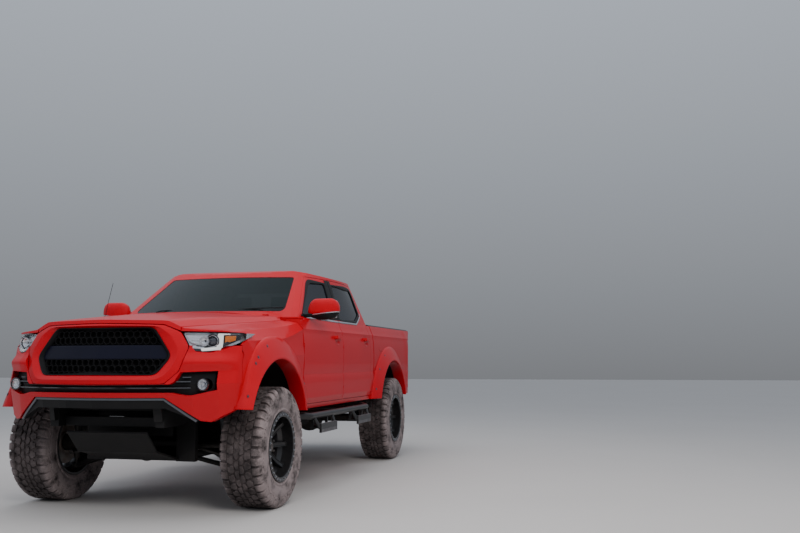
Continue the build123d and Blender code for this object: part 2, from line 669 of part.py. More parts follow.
def flare(y, z, y0, y1, low, roots):
    """Left wheel flare: it rises from its root on the body to the arch's edge, with a lip turned inwards."""
    root = BODY_HALF_WIDTH - FLARE_FOOT
    rim = [ARCH_RADIUS] * len(roots)
    outside = loft([arch_face(root, roots), arch_face(root + 26, roots, -4),
                    arch_face(FLARE_EDGE - 10, rim, 22),
                    arch_face(FLARE_EDGE, rim, 8)], ruled=True)
    inside = loft([arch_face(root - 1, roots, -16), arch_face(root + 26, roots, -20),
                   arch_face(FLARE_EDGE - 3 * FLARE_WALL, rim, FLARE_WALL + 1)], ruled=True)
    inside -= ring(ARCH_RADIUS + FLARE_WALL, 0, root - 2, FLARE_EDGE)
    shape = Pos(0, y, z) * (outside - inside - ring(ARCH_RADIUS, 0, root - 1, FLARE_EDGE + 1))
    return shape & block(root - 1, 1000, y0, y1, low, 1300)


def make_flares():
    """Four flares that stand on the fenders and the bed sides."""
    front_form = clip(-SEAT_GAP) + nose(-SEAT_GAP)
    rear_form = lower_half(2000, 4400, -SEAT_GAP) + prism_y(both([(0, 600), (BODY_HALF_WIDTH, 600),
                                                                  (BODY_HALF_WIDTH, 660), (0, 660)]), 2000,
                                                                  4400)
    front = flare(0, ARCH_HEIGHT, -660, DOOR_FRONT - HINGE_GAP - 2, SILL_BOTTOM, ROOT_FRONT) - front_form
    front -= block(800, 1000, -700, 0, 600, 705)
    rear = flare(WHEELBASE, REAR_ARCH_HEIGHT, BED_FRONT + 3, 4000, SILL_BOTTOM, ROOT_REAR) - rear_form
    return [largest(front), largest(rear)]


def largest(shape):
    """Largest solid of a shape."""
    return max(shape.solids(), key=lambda solid: solid.volume)


LAMP_DEPTH = 100.0
FOG_X = 701.0
FOG_Z = 884.0


def make_front_lamps():
    """Headlamps set in the nose, and round fog lamps in their bezels."""
    lamp = (nose(2) - nose(LAMP_DEPTH)) & lamp_view() & block(0, 1000, -1000, -250, 600, 1400)
    lamp -= block(0, 548, -1000, 0, 600, 1400)
    fog = Pos(FOG_X, -690, FOG_Z) * Rot(90, 0, 0) * Cylinder(38, 56)
    return [lamp, fog]


TRIM_RECESS = 30.0


def make_bumper_trim():
    """Black pieces of the bumper: the slot's back wall with its fin, the fog bezels and the lower valance."""
    back = (nose(TRIM_RECESS) - nose(TRIM_RECESS + 16)) & front_view(SLOT, by=-SEAT_GAP)
    fin = (nose(8) - nose(TRIM_RECESS + 4)) & front_view([(0.0, 852.0), (545.0, 858.0), (545.0, 868.0),
                                                          (0.0, 862.0)])
    trim = back + fin - front_view(SURROUND, by=SEAT_GAP)
    hole = Pos(FOG_X, -690, FOG_Z) * Rot(90, 0, 0) * Cylinder(38 + SEAT_GAP, 200)
    trim -= hole
    trim -= mirrored(hole)
    valance = (nose(14) - nose(60)) & front_view([(0.0, 730.0), (470.0, 730.0), (560.0, 690.0),
                                                  (650.0, 645.0),
                                                 (668.0, 650.0), (478.0, 799.7), (0.0, 799.7)])
    return [trim, valance]


# Doors
HANDLE_HEIGHT = 1230.0
HINGE_HEIGHTS = (800.0, 1160.0)
HINGE_PIN = 2.6
HINGE_EYE = 4.4
HINGE_NOTCH = 10.0
HINGE_TALL = 14.0
HINGE_X = BODY_HALF_WIDTH - 5.0


def door_axis(front):
    """Station of a door's hinge axis, in the plane of its leading edge."""
    return (DOOR_FRONT if front else DOOR_SPLIT + HINGE_GAP - SHUT_GAP) + SHUT_GAP / 2


def make_door(outline, window, front):
    """Left door: thick lower part, slim window frame, pull handle and hinge pins."""
    lower, upper = side_wall(outline, SHUT_GAP / 2, DOOR_DEPTH, FRAME_DEPTH)
    hollow = lower_half(400, 2800, 14) - lower_half(400, 2800, DOOR_DEPTH - 12)
    hollow &= prism_x(outline(SHUT_GAP / 2 + 40), 450, 1000, SHUT_SLANT) & block(450, 1000, 400, 2800, 720,
                                                                                 1330)
    door = lower - hollow + upper - window_cut(window, 500, 1000)
    y = door_axis(front)
    for z in HINGE_HEIGHTS:
        door -= Pos(HINGE_X, y, z) * Cylinder(HINGE_NOTCH, HINGE_TALL + 12)
        door += Pos(HINGE_X, y, z) * Cylinder(HINGE_PIN, HINGE_TALL + 16)
    rear = (DOOR_SPLIT if front else DOOR_REAR) - 75
    handle = prism_z([(BODY_HALF_WIDTH - 26, rear - 175), (BODY_HALF_WIDTH + 22, rear - 160),
                      (BODY_HALF_WIDTH + 22, rear - 25), (BODY_HALF_WIDTH - 26, rear)], HANDLE_HEIGHT,
                      HANDLE_HEIGHT + 26)
    handle -= prism_z([(BODY_HALF_WIDTH - 14, rear - 150), (BODY_HALF_WIDTH + 10, rear - 140),
                       (BODY_HALF_WIDTH + 10, rear - 40), (BODY_HALF_WIDTH - 14, rear - 30)],
                       HANDLE_HEIGHT - 5,
                      HANDLE_HEIGHT + 40)
    return largest(door + handle)


def make_door_glass(window):
    """Side window pane, set in its door frame."""
    return (cabin(8) - cabin(8 + GLASS)) & window_cut(window, 500, 1000, -SEAL_GAP)


MIRROR_FACE = [(852, 1492), (862, 1522), (900, 1547), (1040, 1548), (1076, 1526), (1093, 1482), (1092, 1440),
               (1078, 1400), (1046, 1376), (930, 1368), (868, 1400), (852, 1440)]
MIRROR_PLAN = [(850, 844), (1030, 850), (1078, 880), (1094, 926), (1090, 950), (862, 922)]


def make_mirror():
    """Left door mirror: a rounded head on a short arm from the window's front corner."""
    head = prism_y(MIRROR_FACE, 830, 960) & prism_z(MIRROR_PLAN, 1300, 1600, radius=6)
    arm = prism_y([(790, 1384), (912, 1398), (912, 1430), (790, 1418)], 854, 896)
    return largest(head + arm - lower_half(700, 1200, -SEAT_GAP) - cabin(-SEAT_GAP))


def hinge_eyes():
    """Eyes that hold the left door pins: on the fender's rear edge, and on leaves from the centre pillar."""
    eyes = []
    for front in (True, False):
        y = door_axis(front)
        for z in HINGE_HEIGHTS:
            eye = Pos(HINGE_X, y, z) * Cylinder(HINGE_EYE, HINGE_TALL)
            if front:
                eye += block(HINGE_X - 5, HINGE_X + 1, y - 14, y - 2, z - HINGE_TALL / 2, z + HINGE_TALL / 2)
            else:
                reach = HINGE_X - (BODY_HALF_WIDTH - DOOR_DEPTH - SHUT_GAP) + 4
                y_leaf = y - (HINGE_GAP / 2 + 0.2)
                leaf = prism_x([(y_leaf - 1.5 - SHUT_SLANT * HINGE_X, z - HINGE_TALL / 2),
                                (y_leaf + 1.5 - SHUT_SLANT * HINGE_X, z - HINGE_TALL / 2),
                                (y_leaf + 1.5 - SHUT_SLANT * HINGE_X, z + HINGE_TALL / 2),
                                (y_leaf - 1.5 - SHUT_SLANT * HINGE_X, z + HINGE_TALL / 2)],
                               HINGE_X - reach, HINGE_X + 1, SHUT_SLANT)
                eye += leaf
                eye += block(HINGE_X - 2, HINGE_X + 1, y_leaf - 1.5, y - 2, z - HINGE_TALL / 2,
                             z + HINGE_TALL / 2)
            eye -= Pos(HINGE_X, y, z) * Cylinder(HINGE_PIN + PIN_GAP, HINGE_TALL + 2)
            eyes.append((front, eye))
    return eyes


# Bed
BED_FLOOR = 903.0
BED_INNER = 673.0
BED_REAR = TAILGATE_FACE - 58.0
BED_SKIN = 28.0
TUB_INNER = 527.0
TUB_RADIUS = 560.0
TUB_WALL = 14.0
TAILGATE_HALF = 668.0
GATE_AXIS_Y = TAILGATE_FACE - 12.0
GATE_AXIS_Z = 918.0
GATE_PIN = 9.0
TIE_DOWN_X = 600.0
TIE_DOWN_Y = (2752.0, 4200.0)
TIE_DOWN_RADIUS = 5.5
LAMP_LOW = 985.0
LAMP_HIGH = 1285.0
LAMP_IN = 790.0


BED_TAPER = [(BODY_HALF_WIDTH + 2, 4060.0), (832.0, 4400.0)]


def bed_plan(depth):
    """Bed between its sides in plan, drawn in towards the tail, moved inwards by depth."""
    (x0, y0), (x1, y1) = BED_TAPER
    return prism_z(both([(0, 2600), (x0 - depth, 2600), (x0 - depth, y0), (x1 - depth, y1), (0, y1)]), 600,
                   1400)


def tail_lamp_space(by=0.0):
    """Left rear lamp's block, made larger by a distance."""
    return block(LAMP_IN - by, 1000, TAILGATE_FACE - 90 - by, TAILGATE_FACE + 10, LAMP_LOW - by,
                 LAMP_HIGH + by)


def make_bed():
    """Bed box: hollow double sides, front wall, floor, wheel tubs and rear corner posts."""
    outer = lower_half(BED_FRONT, TAILGATE_FACE, 0) & bed_plan(0)
    shell = outer - block(-BED_INNER, BED_INNER, BED_FRONT + 60, TAILGATE_FACE + 60, BED_FLOOR, 1500)
    under = lower_half(BED_FRONT + 30, BED_REAR + 10, BED_SKIN) & bed_plan(BED_SKIN)
    shell -= under & block(-1000, 1000, 2000, 4400, 600, BED_FLOOR - 38)
    shell -= block(-RAIL_X - 80, RAIL_X + 80, BED_FRONT - 10, BED_FRONT + 40, 600, BED_FLOOR - 60)
    for side in (-1, 1):
        shell -= under & block(side * (BED_INNER + 20), side * 1000, BED_FRONT + 30, BED_REAR - 60,
                               BED_FLOOR - 60, 1335)
    tub_z = TYRE_RADIUS + 135
    reach = (TUB_INNER, BED_INNER + 24)
    for side in (-1, 1):
        x0, x1 = sorted((side * reach[0], side * reach[1]))
        tub = ring(TUB_RADIUS, 0, x0, x1, WHEELBASE, tub_z) & block(-1000, 1000, 2000, 4400, BED_FLOOR - 38,
                                                                    1300)
        shell += tub
        x0, x1 = sorted((side * (reach[0] + TUB_WALL), side * (BODY_HALF_WIDTH - BED_SKIN)))
        shell -= ring(TUB_RADIUS - TUB_WALL, 0, x0, x1, WHEELBASE, tub_z)
    shell -= arch_cut(WHEELBASE, REAR_ARCH_HEIGHT, ARCH_RADIUS + 8) - block(-BODY_HALF_WIDTH + BED_SKIN + 5,
                                                                            BODY_HALF_WIDTH - BED_SKIN - 5,
                                                                            2000, 4400, 0, 1300)
    shell -= block(-TAILGATE_HALF - 7, TAILGATE_HALF + 7, BED_REAR, 4500, BED_FLOOR - 60, 1500)
    shell -= block(-1000, 1000, BED_REAR - 80, 4500, 600, 893)
    for side in (-1, 1):
        x0, x1 = sorted((side * (TAILGATE_HALF + 2), side * (TAILGATE_HALF + 34)))
        shell -= ring(GATE_PIN + PIN_GAP, 0, x0, x1, GATE_AXIS_Y, GATE_AXIS_Z)
    for x in (-TIE_DOWN_X, TIE_DOWN_X):
        for y in TIE_DOWN_Y:
            shell -= Pos(x, y, BED_FLOOR) * Cylinder(TIE_DOWN_RADIUS, 100)
    lamp = tail_lamp_space(SEAT_GAP)
    shell -= lamp
    shell -= mirrored(lamp)
    return shell


def make_tailgate():
    """Tailgate panel with its pins and a handle recess."""
    gate = prism_x([(BED_REAR + 7, GATE_AXIS_Z - 12), (TAILGATE_FACE, GATE_AXIS_Z - 12),
                    (TAILGATE_FACE, 1330),
                    (TAILGATE_FACE + 8, 1362), (TAILGATE_FACE - 6, BELT_HEIGHT), (BED_REAR + 7, BELT_HEIGHT)],
                   -TAILGATE_HALF, TAILGATE_HALF)
    gate -= block(-560, 560, TAILGATE_FACE - 7, TAILGATE_FACE + 20, 985, 1235)
    gate -= block(-95, 95, TAILGATE_FACE - 22, TAILGATE_FACE + 20, 1250, 1310)
    gate += ring(GATE_PIN, 0, -TAILGATE_HALF - 26, TAILGATE_HALF + 26, GATE_AXIS_Y, GATE_AXIS_Z)
    return gate


def make_tail_lamps():
    """Rear lamps in the corners of the bed."""
    return tail_lamp_space() & lower_half(BED_FRONT, TAILGATE_FACE, 0) & bed_plan(0)


CAP_HIGH = 15.0


def make_rail_caps():
    """Black caps on the bed's side rails and front rail."""
    outline = [(BED_INNER - 6, RAIL_TOP), (BED_INNER - 6, RAIL_TOP + CAP_HIGH),
               (BODY_HALF_WIDTH - 86, RAIL_TOP + CAP_HIGH), (BODY_HALF_WIDTH - 57, RAIL_TOP)]
    side = prism_y(outline, BED_FRONT + 6, TAILGATE_FACE - 8)
    front = block(-BED_INNER + 12, BED_INNER - 12, BED_FRONT + 4, BED_FRONT + 66, RAIL_TOP,
                  RAIL_TOP + CAP_HIGH)
    return [side, mirrored(side), front]


BUMPER_FACE = WHEELBASE + REAR_OVERHANG


def make_rear_bumper():
    """Rear bumper: a bent steel bar with swept corners, a low middle step and a receiver gap."""
    plan = [(0.0, BUMPER_FACE), (420.0, BUMPER_FACE), (730.0, BUMPER_FACE - 22), (826.0, BUMPER_FACE - 80),
            (856.0, BUMPER_FACE - 250), (0.0, BUMPER_FACE - 250)]
    inner = [(0.0, BUMPER_FACE - 42), (410.0, BUMPER_FACE - 42), (712.0, BUMPER_FACE - 64),
             (788.0, BUMPER_FACE - 110),
             (814.0, BUMPER_FACE - 260), (0.0, BUMPER_FACE - 260)]
    bar = prism_z(both(plan), 655, 886) - prism_z(both(inner), 640, 866)
    bar -= block(-330, 330, BUMPER_FACE - 300, BUMPER_FACE + 10, 800, 900)
    bar += block(-345, 345, BUMPER_FACE - 90, BUMPER_FACE, 770, 800)
    bar -= block(-60, 60, BUMPER_FACE - 300, BUMPER_FACE + 10, 600, 700)
    for side in (-1, 1):
        bar += block(side * 330, side * 345, BUMPER_FACE - 90, BUMPER_FACE, 770, 870)
    return bar


# Suspension, steering and axles
ARM_RADIUS = 17.0
STEER_AXIS = KINGPIN_X
BALL_REACH = 30.0
ARMS = [(325.0, 372.0, LOWER_BALL - BALL_REACH, 190.0, 30.0), (449.3, 670.0, UPPER_BALL + BALL_REACH, 150.0,
                                                               24.0)]
RACK_Y = -150.0
RACK_Z = 445.0
STEER_ARM = 120.0


def make_control_arms():
    """Upper and lower wishbones of the front suspension, with their ball stud sockets."""
    shapes = []
    for x_in, z_in, z_out, span, tip_radius in ARMS:
        tip = (STEER_AXIS - 16, 0, z_out)
        arm = rod((x_in, -span, z_in), tip, ARM_RADIUS) + rod((x_in, span, z_in), tip, ARM_RADIUS)
        arm += rod((x_in, -span - 30, z_in), (x_in, span + 30, z_in), 22)
        arm += Pos(STEER_AXIS, 0, z_out) * Cylinder(tip_radius, 2 * ARM_RADIUS)
        shapes.append(arm)
    return shapes


def make_knuckle():
    """Left steering knuckle: upright between the ball joints, hub carrier, stub axle and steering arm."""
    stud = BALL_REACH - ARM_RADIUS - SEAT_GAP
    upright = rod((STEER_AXIS, 0, LOWER_BALL - stud), (STEER_AXIS, 0, UPPER_BALL + stud), 10)
    upright += rod((STEER_AXIS, 0, LOWER_BALL + 22), (STEER_AXIS, 0, UPPER_BALL - 22), 22)
    upright += ring(62, 0, STEER_AXIS - 20, WHEEL_PLANE - 4, 0, TYRE_RADIUS)
    upright += ring(STUB_RADIUS, 0, STEER_AXIS, WHEEL_PLANE + 20, 0, TYRE_RADIUS)
    upright += rod((STEER_AXIS, 0, TYRE_RADIUS - 60), (STEER_AXIS - 30, -STEER_ARM, TYRE_RADIUS - 60), 14)
    return upright


def make_steering_rack():
    """Steering rack with a tie rod to each side."""
    rack = rod((-300, RACK_Y, RACK_Z), (300, RACK_Y, RACK_Z), 28)
    for side in (-1, 1):
        rack += block(side * 282, side * 300, -222 + SEAT_GAP, RACK_Y, RACK_Z - 20, RACK_Z + 20)
        rack += rod((side * 290, RACK_Y, RACK_Z), (side * (STEER_AXIS - 78), RACK_Y + 10, TYRE_RADIUS - 60),
                    10)
    return rack


def make_rear_axle():
    """Rear axle: tubes, differential housing and the hub flanges with their wheel studs."""
    axle = rod((-WHEEL_PLANE + 6, WHEELBASE, TYRE_RADIUS), (WHEEL_PLANE - 6, WHEELBASE, TYRE_RADIUS),
               AXLE_RADIUS)
    axle += Pos(0, WHEELBASE, TYRE_RADIUS) * Sphere(150)
    axle += Pos(0, WHEELBASE - 150, TYRE_RADIUS) * Rot(90, 0, 0) * Cylinder(60, 160)
    for side in (-1, 1):
        x0, x1 = sorted((side * (WHEEL_PLANE - 130), side * (WHEEL_PLANE - 30)))
        axle += ring(140, 0, x0, x1, WHEELBASE, TYRE_RADIUS)
        x0, x1 = sorted((side * (WHEEL_PLANE - 30), side * (WHEEL_PLANE + 20)))
        axle += ring(STUB_RADIUS, 0, x0, x1, WHEELBASE, TYRE_RADIUS)
    return axle


SPRING_X = 560.0


def make_leaf_springs():
    """Leaf packs over the rear axle, with their lift block and hangers."""
    shapes = []
    for side in (-1, 1):
        x0, x1 = sorted((side * (SPRING_X - 32), side * (SPRING_X + 32)))
        top = TYRE_RADIUS + AXLE_RADIUS + 78
        outline = [(WHEELBASE - 620, top + 30), (WHEELBASE, top - 20), (WHEELBASE + 640, top + 60),
                   (WHEELBASE + 640, top + 78), (WHEELBASE, top + 22), (WHEELBASE - 620, top + 50)]
        leaf = prism_x(outline, x0, x1)
        leaf += block(x0, x1, WHEELBASE - 70, WHEELBASE + 70, TYRE_RADIUS + AXLE_RADIUS + SEAT_GAP, top)
        for y, z in ((WHEELBASE - 620, top + 40), (WHEELBASE + 640, top + 70)):
            x_rail = side * (RAIL_X + RAIL_WIDTH / 2 + SEAT_GAP)
            leaf += rod((x_rail, y, z), (x1 if side > 0 else x0, y, z), 24)
        shapes.append(leaf)
    return shapes


def make_dampers():
    """Front coil-over units and rear shock absorbers."""
    front = rod((556, 0, 470), (520, 0, 800), 26) + rod((555, 0, 490), (526, 0, 740), 50)
    front += block(536, 576, -36, 36, 462, 482)
    for y in (-30, 30):
        front += block(540, 572, y - 6, y + 6, 306, 470)
    front += rod((556, -50, 316), (556, 50, 316), 10)
    rear = rod((492, WHEELBASE - 46, 490), (472, WHEELBASE - 330, 700), 28)
    rear += rod((492, WHEELBASE - 50, 502), (SPRING_X - 32 - SEAT_GAP, WHEELBASE - 50, 502), 10)
    rear += rod((RAIL_X + RAIL_WIDTH / 2 + SEAT_GAP, WHEELBASE - 318, 688), (474, WHEELBASE - 318, 688), 12)
    return [front, rear]


def make_engine():
    """Engine as one plain block over the front axle."""
    engine = block(-290, 290, -430, 300, 700, 1240)
    for side in (-1, 1):
        engine += block(side * 280, side * (RAIL_X - RAIL_WIDTH / 2 - SEAT_GAP), -60, 20, 706, 750)
    return engine


def make_driveline():
    """Gearbox, transfer case, both propeller shafts and the front differential with its half shafts."""
    box = prism_x([(300.3, 640), (300.3, 980), (540, 880), (1180, 800), (1180, 640)], -170, 170)
    box += block(-180, 60, 1180, 1480, 562, 800)
    shaft = rod((-80, 1480, 604), (0, WHEELBASE - 242, TYRE_RADIUS + 8), 36)
    front = rod((-130, 1180, 598), (-150, 110, 445), 28)
    front += Pos(-150, 40, 440) * Sphere(85)
    front += rod((-650, 0, 425), (650, 0, 425), 20)
    return [box, shaft, front]


def make_exhaust():
    """Exhaust pipe with its silencer, over the axle and out behind the right rear wheel."""
    hanger = block(-250, -230, 1350, 1380, 520, 530 - SEAT_GAP)
    pipe = hanger + bent_tube([(-240, 320, 498), (-240, 2560, 498), (-250, 2880, 618), (-250, 3560, 618),
                               (-330, 3760, 566),
                      (-760, 4010, 545)], 28, 90)
    return pipe + rod((-240, 1650, 498), (-240, 2150, 498), 78)


def make_tank():
    """Fuel tank inside the left chassis rail."""
    tank = prism_x([(1600, 430), (2250, 430), (2250, 630), (1600, 630)], 70, 350, radius=30)
    for y in (1700, 2120):
        tank += block(340, RAIL_X - RAIL_WIDTH / 2 - SEAT_GAP, y, y + 40, 560, 600)
    return tank


def make_skid_plate():
    """Skid plate and drop crossmember under the nose."""
    plate = prism_x([(-700, 560), (-560, 420), (-200, 330), (330, 330), (330, 342), (-195, 342), (-552, 432),
                     (-692, 570)], -300, 300)
    for side in (-1, 1):
        for y0, y1 in ((-262, -222), (222, 262)):
            plate += block(side * 280, side * 427, y0, y1, 334, RAIL_LOW + 170 - SEAT_GAP)
    return plate


STEP_STATIONS = (930.0, 1940.0)
STEP_Z = 502.0


def make_side_steps():
    """Tube steps under the sills, each with two hoop drops and a bracket to the frame."""
    tube_z, tube_x = 600.0, 950.0
    step = bent_tube([(870, 560, 612), (tube_x, 640, tube_z), (tube_x, 2200, tube_z), (870, 2290, 612)], 26,
                     40)
    for y in STEP_STATIONS:
        hoop = bent_tube([(tube_x, y - 225, tube_z), (tube_x + 46, y - 190, STEP_Z),
                          (tube_x + 46, y + 190, STEP_Z),
                          (tube_x, y + 225, tube_z)], 15, 30)
        tread = block(tube_x - 40, tube_x + 50, y - 185, y + 185, STEP_Z - 4, STEP_Z + 6)
        tread += block(tube_x + 46, tube_x + 64, y - 200, y + 200, STEP_Z - 36, STEP_Z + 34)
        for end in (-185, 165):
            tread += block(tube_x - 34, tube_x - 14, y + end, y + end + 20, STEP_Z - 4, tube_z)
        step += hoop + tread
    for y in (760.0, 1450.0, 2120.0):
        step += rod((RAIL_X + RAIL_WIDTH / 2 + 1, y, 580), (tube_x, y, tube_z), 18)
    return step


# Cab interior
SEAT_OUTER = 670.0


def make_dashboard():
    """Dashboard with the steering column and wheel on the left."""
    dash = prism_x([(600.3, 1080), (720, 1040), (830, 1150), (850, 1290), (780, 1319), (600.3, 1312)], -690,
                   690)
    dash += rod((370, 800, 1230), (370, 985, 1170), 30)
    wheel = Plane(origin=(370, 1000, 1165), z_dir=Vector(0, 185, -60))
    hub = extrude(wheel * Circle(55), amount=30, both=True)
    spokes = extrude(wheel * Rectangle(340, 40), amount=8, both=True)
    rim = wheel * Torus(180, 15)
    return dash + hub + spokes + rim


def seat(x0, x1, y):
    """Seat with a cushion, a reclined backrest and a headrest."""
    low, top = FLOOR_TOP + SEAT_GAP, 1000.0
    cushion = prism_x([(y, low), (y + 470, low), (y + 470, top), (y + 40, top + 20), (y, top - 20)], x0, x1,
                      radius=8)
    back = prism_x([(y + 420, low + 150), (y + 540, low + 150), (y + 700, 1520), (y + 610, 1520)], x0, x1,
                   radius=8)
    middle = (x0 + x1) / 2
    head = prism_x([(y + 625, 1525), (y + 715, 1525), (y + 735, 1690), (y + 655, 1690)], middle - 120,
                   middle + 120)
    neck = block(middle - 60, middle + 60, y + 640, y + 680, 1500, 1560)
    return cushion + back + head + neck


def make_seats():
    """Two front seats and the rear bench."""
    inner, outer = TUNNEL_HALF + TUNNEL_WALL + 22, SEAT_OUTER
    return [seat(inner, outer, 1080), seat(-outer, -inner, 1080), seat(-outer, outer, 1690)]


# The vehicle
left_door_front = make_door(front_door_outline, FRONT_WINDOW, True)
left_door_rear = make_door(rear_door_outline, REAR_WINDOW, False)
left_mirror = make_mirror()
pane_front = make_door_glass(FRONT_WINDOW)
pane_rear = make_door_glass(REAR_WINDOW)
pane_front = largest(pane_front & block(0, 1000, 0, 3000, 1300, 1900))
pane_rear = largest(pane_rear & block(0, 1000, 0, 3000, 1300, 1900))

keep("door_front_left", left_door_front)
keep("door_front_right", mirrored(left_door_front))
keep("door_rear_left", left_door_rear)
keep("door_rear_right", mirrored(left_door_rear))
keep("glass_front_left", pane_front)
keep("glass_front_right", mirrored(pane_front))
keep("glass_rear_left", pane_rear)
keep("glass_rear_right", mirrored(pane_rear))
keep("mirror_left", left_mirror)
keep("mirror_right", mirrored(left_mirror))

cab = make_cab()
for eye in hood_brackets():
    cab += eye
fenders = make_fenders()
for front, eye in hinge_eyes():
    if front:
        fenders += eye
        fenders += mirrored(eye)
    else:
        cab += eye
        cab += mirrored(eye)
keep("cab_shell", cab)
keep("cab_glass", *make_cab_glass())
keep("front_fenders", fenders)
keep("fender_flares", *[pair(shape) for shape in make_flares()])
keep("hood", make_hood())
keep("front_bumper", make_front_bumper())
keep("grille_surround", make_surround())
keep("grille_mesh", make_grille())
keep("front_lamps", *[pair(shape) for shape in make_front_lamps()])
keep("bumper_trim", *make_bumper_trim())
keep("bed_box", make_bed())
keep("tailgate", make_tailgate())
keep("tail_lamps", pair(make_tail_lamps()))
keep("bed_rail_caps", *make_rail_caps())
keep("rear_bumper", make_rear_bumper())

keep("chassis_frame", make_frame())
keep("skid_plate", make_skid_plate())
keep("engine_block", make_engine())
keep("driveline", *make_driveline())
keep("exhaust", make_exhaust())
keep("fuel_tank", make_tank())
keep("control_arms", *[pair(shape) for shape in make_control_arms()])
keep("steering_rack", make_steering_rack())
keep("dampers", *[pair(shape) for shape in make_dampers()])
keep("rear_axle", make_rear_axle())
keep("leaf_springs", *make_leaf_springs())
keep("side_steps", pair(make_side_steps()))
keep("dashboard", make_dashboard())
keep("seats", *make_seats())

knuckle = make_knuckle()
keep("knuckle_left", knuckle)
keep("knuckle_right", mirrored(knuckle))
rim, tyre = make_rim(), make_tyre()
for place, y in (("front", 0.0), ("rear", WHEELBASE)):
    keep("rim_" + place + "_left", Pos(WHEEL_PLANE, y, TYRE_RADIUS) * rim)
    keep("rim_" + place + "_right", mirrored(Pos(WHEEL_PLANE, y, TYRE_RADIUS) * rim))
    keep("tyre_" + place + "_left", Pos(WHEEL_PLANE, y, TYRE_RADIUS) * tyre)
    keep("tyre_" + place + "_right", mirrored(Pos(WHEEL_PLANE, y, TYRE_RADIUS) * tyre))

os.makedirs("parts", exist_ok=True)
for name, solids in NODES.items():
    placed = [Pos(0, -MIDDLE, 0) * solid for solid in solids]
    export_step(placed[0] if len(placed) == 1 else Compound(children=placed), "parts/" + name + ".step")
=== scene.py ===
"""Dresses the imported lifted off-road 4x4: paint, glass, lamps, wheels, trim and cab.

Sizes are millimetres from the middle of the front axle, x to the vehicle's left, y to its rear and z up
from the floor, as in the part's source. The function at() turns them into metres of the shared frame.
"""
import json
import logging
import math
from dataclasses import dataclass
from enum import Enum
from typing import Callable, Iterable, Sequence

import bpy
from mathutils import Matrix, Vector

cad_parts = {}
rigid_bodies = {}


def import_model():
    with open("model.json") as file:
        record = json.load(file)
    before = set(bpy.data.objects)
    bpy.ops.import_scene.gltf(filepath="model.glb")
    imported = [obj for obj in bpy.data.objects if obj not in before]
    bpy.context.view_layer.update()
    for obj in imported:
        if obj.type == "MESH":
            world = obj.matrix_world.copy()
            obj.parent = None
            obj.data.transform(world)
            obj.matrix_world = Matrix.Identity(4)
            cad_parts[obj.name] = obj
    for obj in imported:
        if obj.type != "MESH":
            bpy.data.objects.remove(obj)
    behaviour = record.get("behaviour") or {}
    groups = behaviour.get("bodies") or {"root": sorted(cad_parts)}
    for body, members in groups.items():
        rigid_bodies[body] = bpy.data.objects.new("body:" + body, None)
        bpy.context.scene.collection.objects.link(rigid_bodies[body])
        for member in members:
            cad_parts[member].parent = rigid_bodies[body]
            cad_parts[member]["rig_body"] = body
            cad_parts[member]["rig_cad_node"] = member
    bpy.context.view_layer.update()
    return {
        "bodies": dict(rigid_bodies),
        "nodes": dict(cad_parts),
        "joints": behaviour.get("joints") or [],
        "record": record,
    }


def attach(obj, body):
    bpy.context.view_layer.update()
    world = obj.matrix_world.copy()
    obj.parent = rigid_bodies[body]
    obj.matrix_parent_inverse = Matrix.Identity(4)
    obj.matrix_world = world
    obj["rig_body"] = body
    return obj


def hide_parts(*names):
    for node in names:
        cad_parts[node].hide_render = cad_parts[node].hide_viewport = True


LOG = logging.getLogger("dress")
Point = tuple[float, float, float]
Flat = tuple[float, float]
Piece = bpy.types.Object

# Distance from the front axle back to the frame's origin, and the wheelbase
MIDDLE = 1781.0
WHEELBASE = 3236.0


def at(x: float, y: float, z: float) -> Vector:
    """Point of the shared frame, in metres, for millimetres from the front axle."""
    return Vector((x, y - MIDDLE, z)) / 1000


AXLE, AHEAD, UP = Vector((1, 0, 0)), Vector((0, -1, 0)), Vector((0, 0, 1))


class Slot(Enum):
    """Material slots of the record."""

    PAINT = "paint_red"
    MIRROR = "mirror_red"
    CHASSIS = "chassis_black"
    CAST = "cast_metal"
    STEEL = "steel"
    STEP = "step_grey"
    DAMPER = "damper_paint"
    TANK = "tank_black"
    GLASS = "glass"
    PLASTIC = "black_plastic"
    LAMP_CLEAR = "lamp_clear"
    LAMP_RED = "lamp_red"
    FABRIC = "fabric"
    RIM = "rim_black"
    TYRE = "tyre"


# Curves with softened corners

@dataclass(frozen=True)
class SoftLine:
    """Open line of straight runs whose corners are rounded by parabolas."""

    points: Sequence[Flat]
    reach: Sequence[float]

    def shift(self, a: float, b: float) -> Flat:
        """Way from the straight runs to the rounded line, at the place on it nearest to a point.

        Args:
            a: First coordinate of the point.
            b: Second coordinate of the point.

        Returns:
            Shift along both coordinates.
        """
        best = None
        for i in range(len(self.points) - 1):
            (a0, b0), (a1, b1) = self.points[i], self.points[i + 1]
            run = math.hypot(a1 - a0, b1 - b0)
            share = max(0.0, min(1.0, ((a - a0) * (a1 - a0) + (b - b0) * (b1 - b0)) / run ** 2))
            away = math.hypot(a - a0 - share * (a1 - a0), b - b0 - share * (b1 - b0))
            if best is None or away < best[0]:
                best = (away, i, share * run, run)
        _, i, along, run = best
        total = [0.0, 0.0]
        for corner, far in ((i, along), (i + 1, run - along)):
            if corner in (0, len(self.points) - 1):
                continue
            ways = []
            for j in (corner - 1, corner):
                (a0, b0), (a1, b1) = self.points[j], self.points[j + 1]
                size = math.hypot(a1 - a0, b1 - b0)
                ways.append(((a1 - a0) / size, (b1 - b0) / size, size))
            reach = min(self.reach[corner], ways[0][2] / 2, ways[1][2] / 2)
            if far >= reach:
                continue
            pull = reach * ((reach - far) / (2 * reach)) ** 2
            total[0] += pull * (ways[1][0] - ways[0][0])
            total[1] += pull * (ways[1][1] - ways[0][1])
        return total[0], total[1]


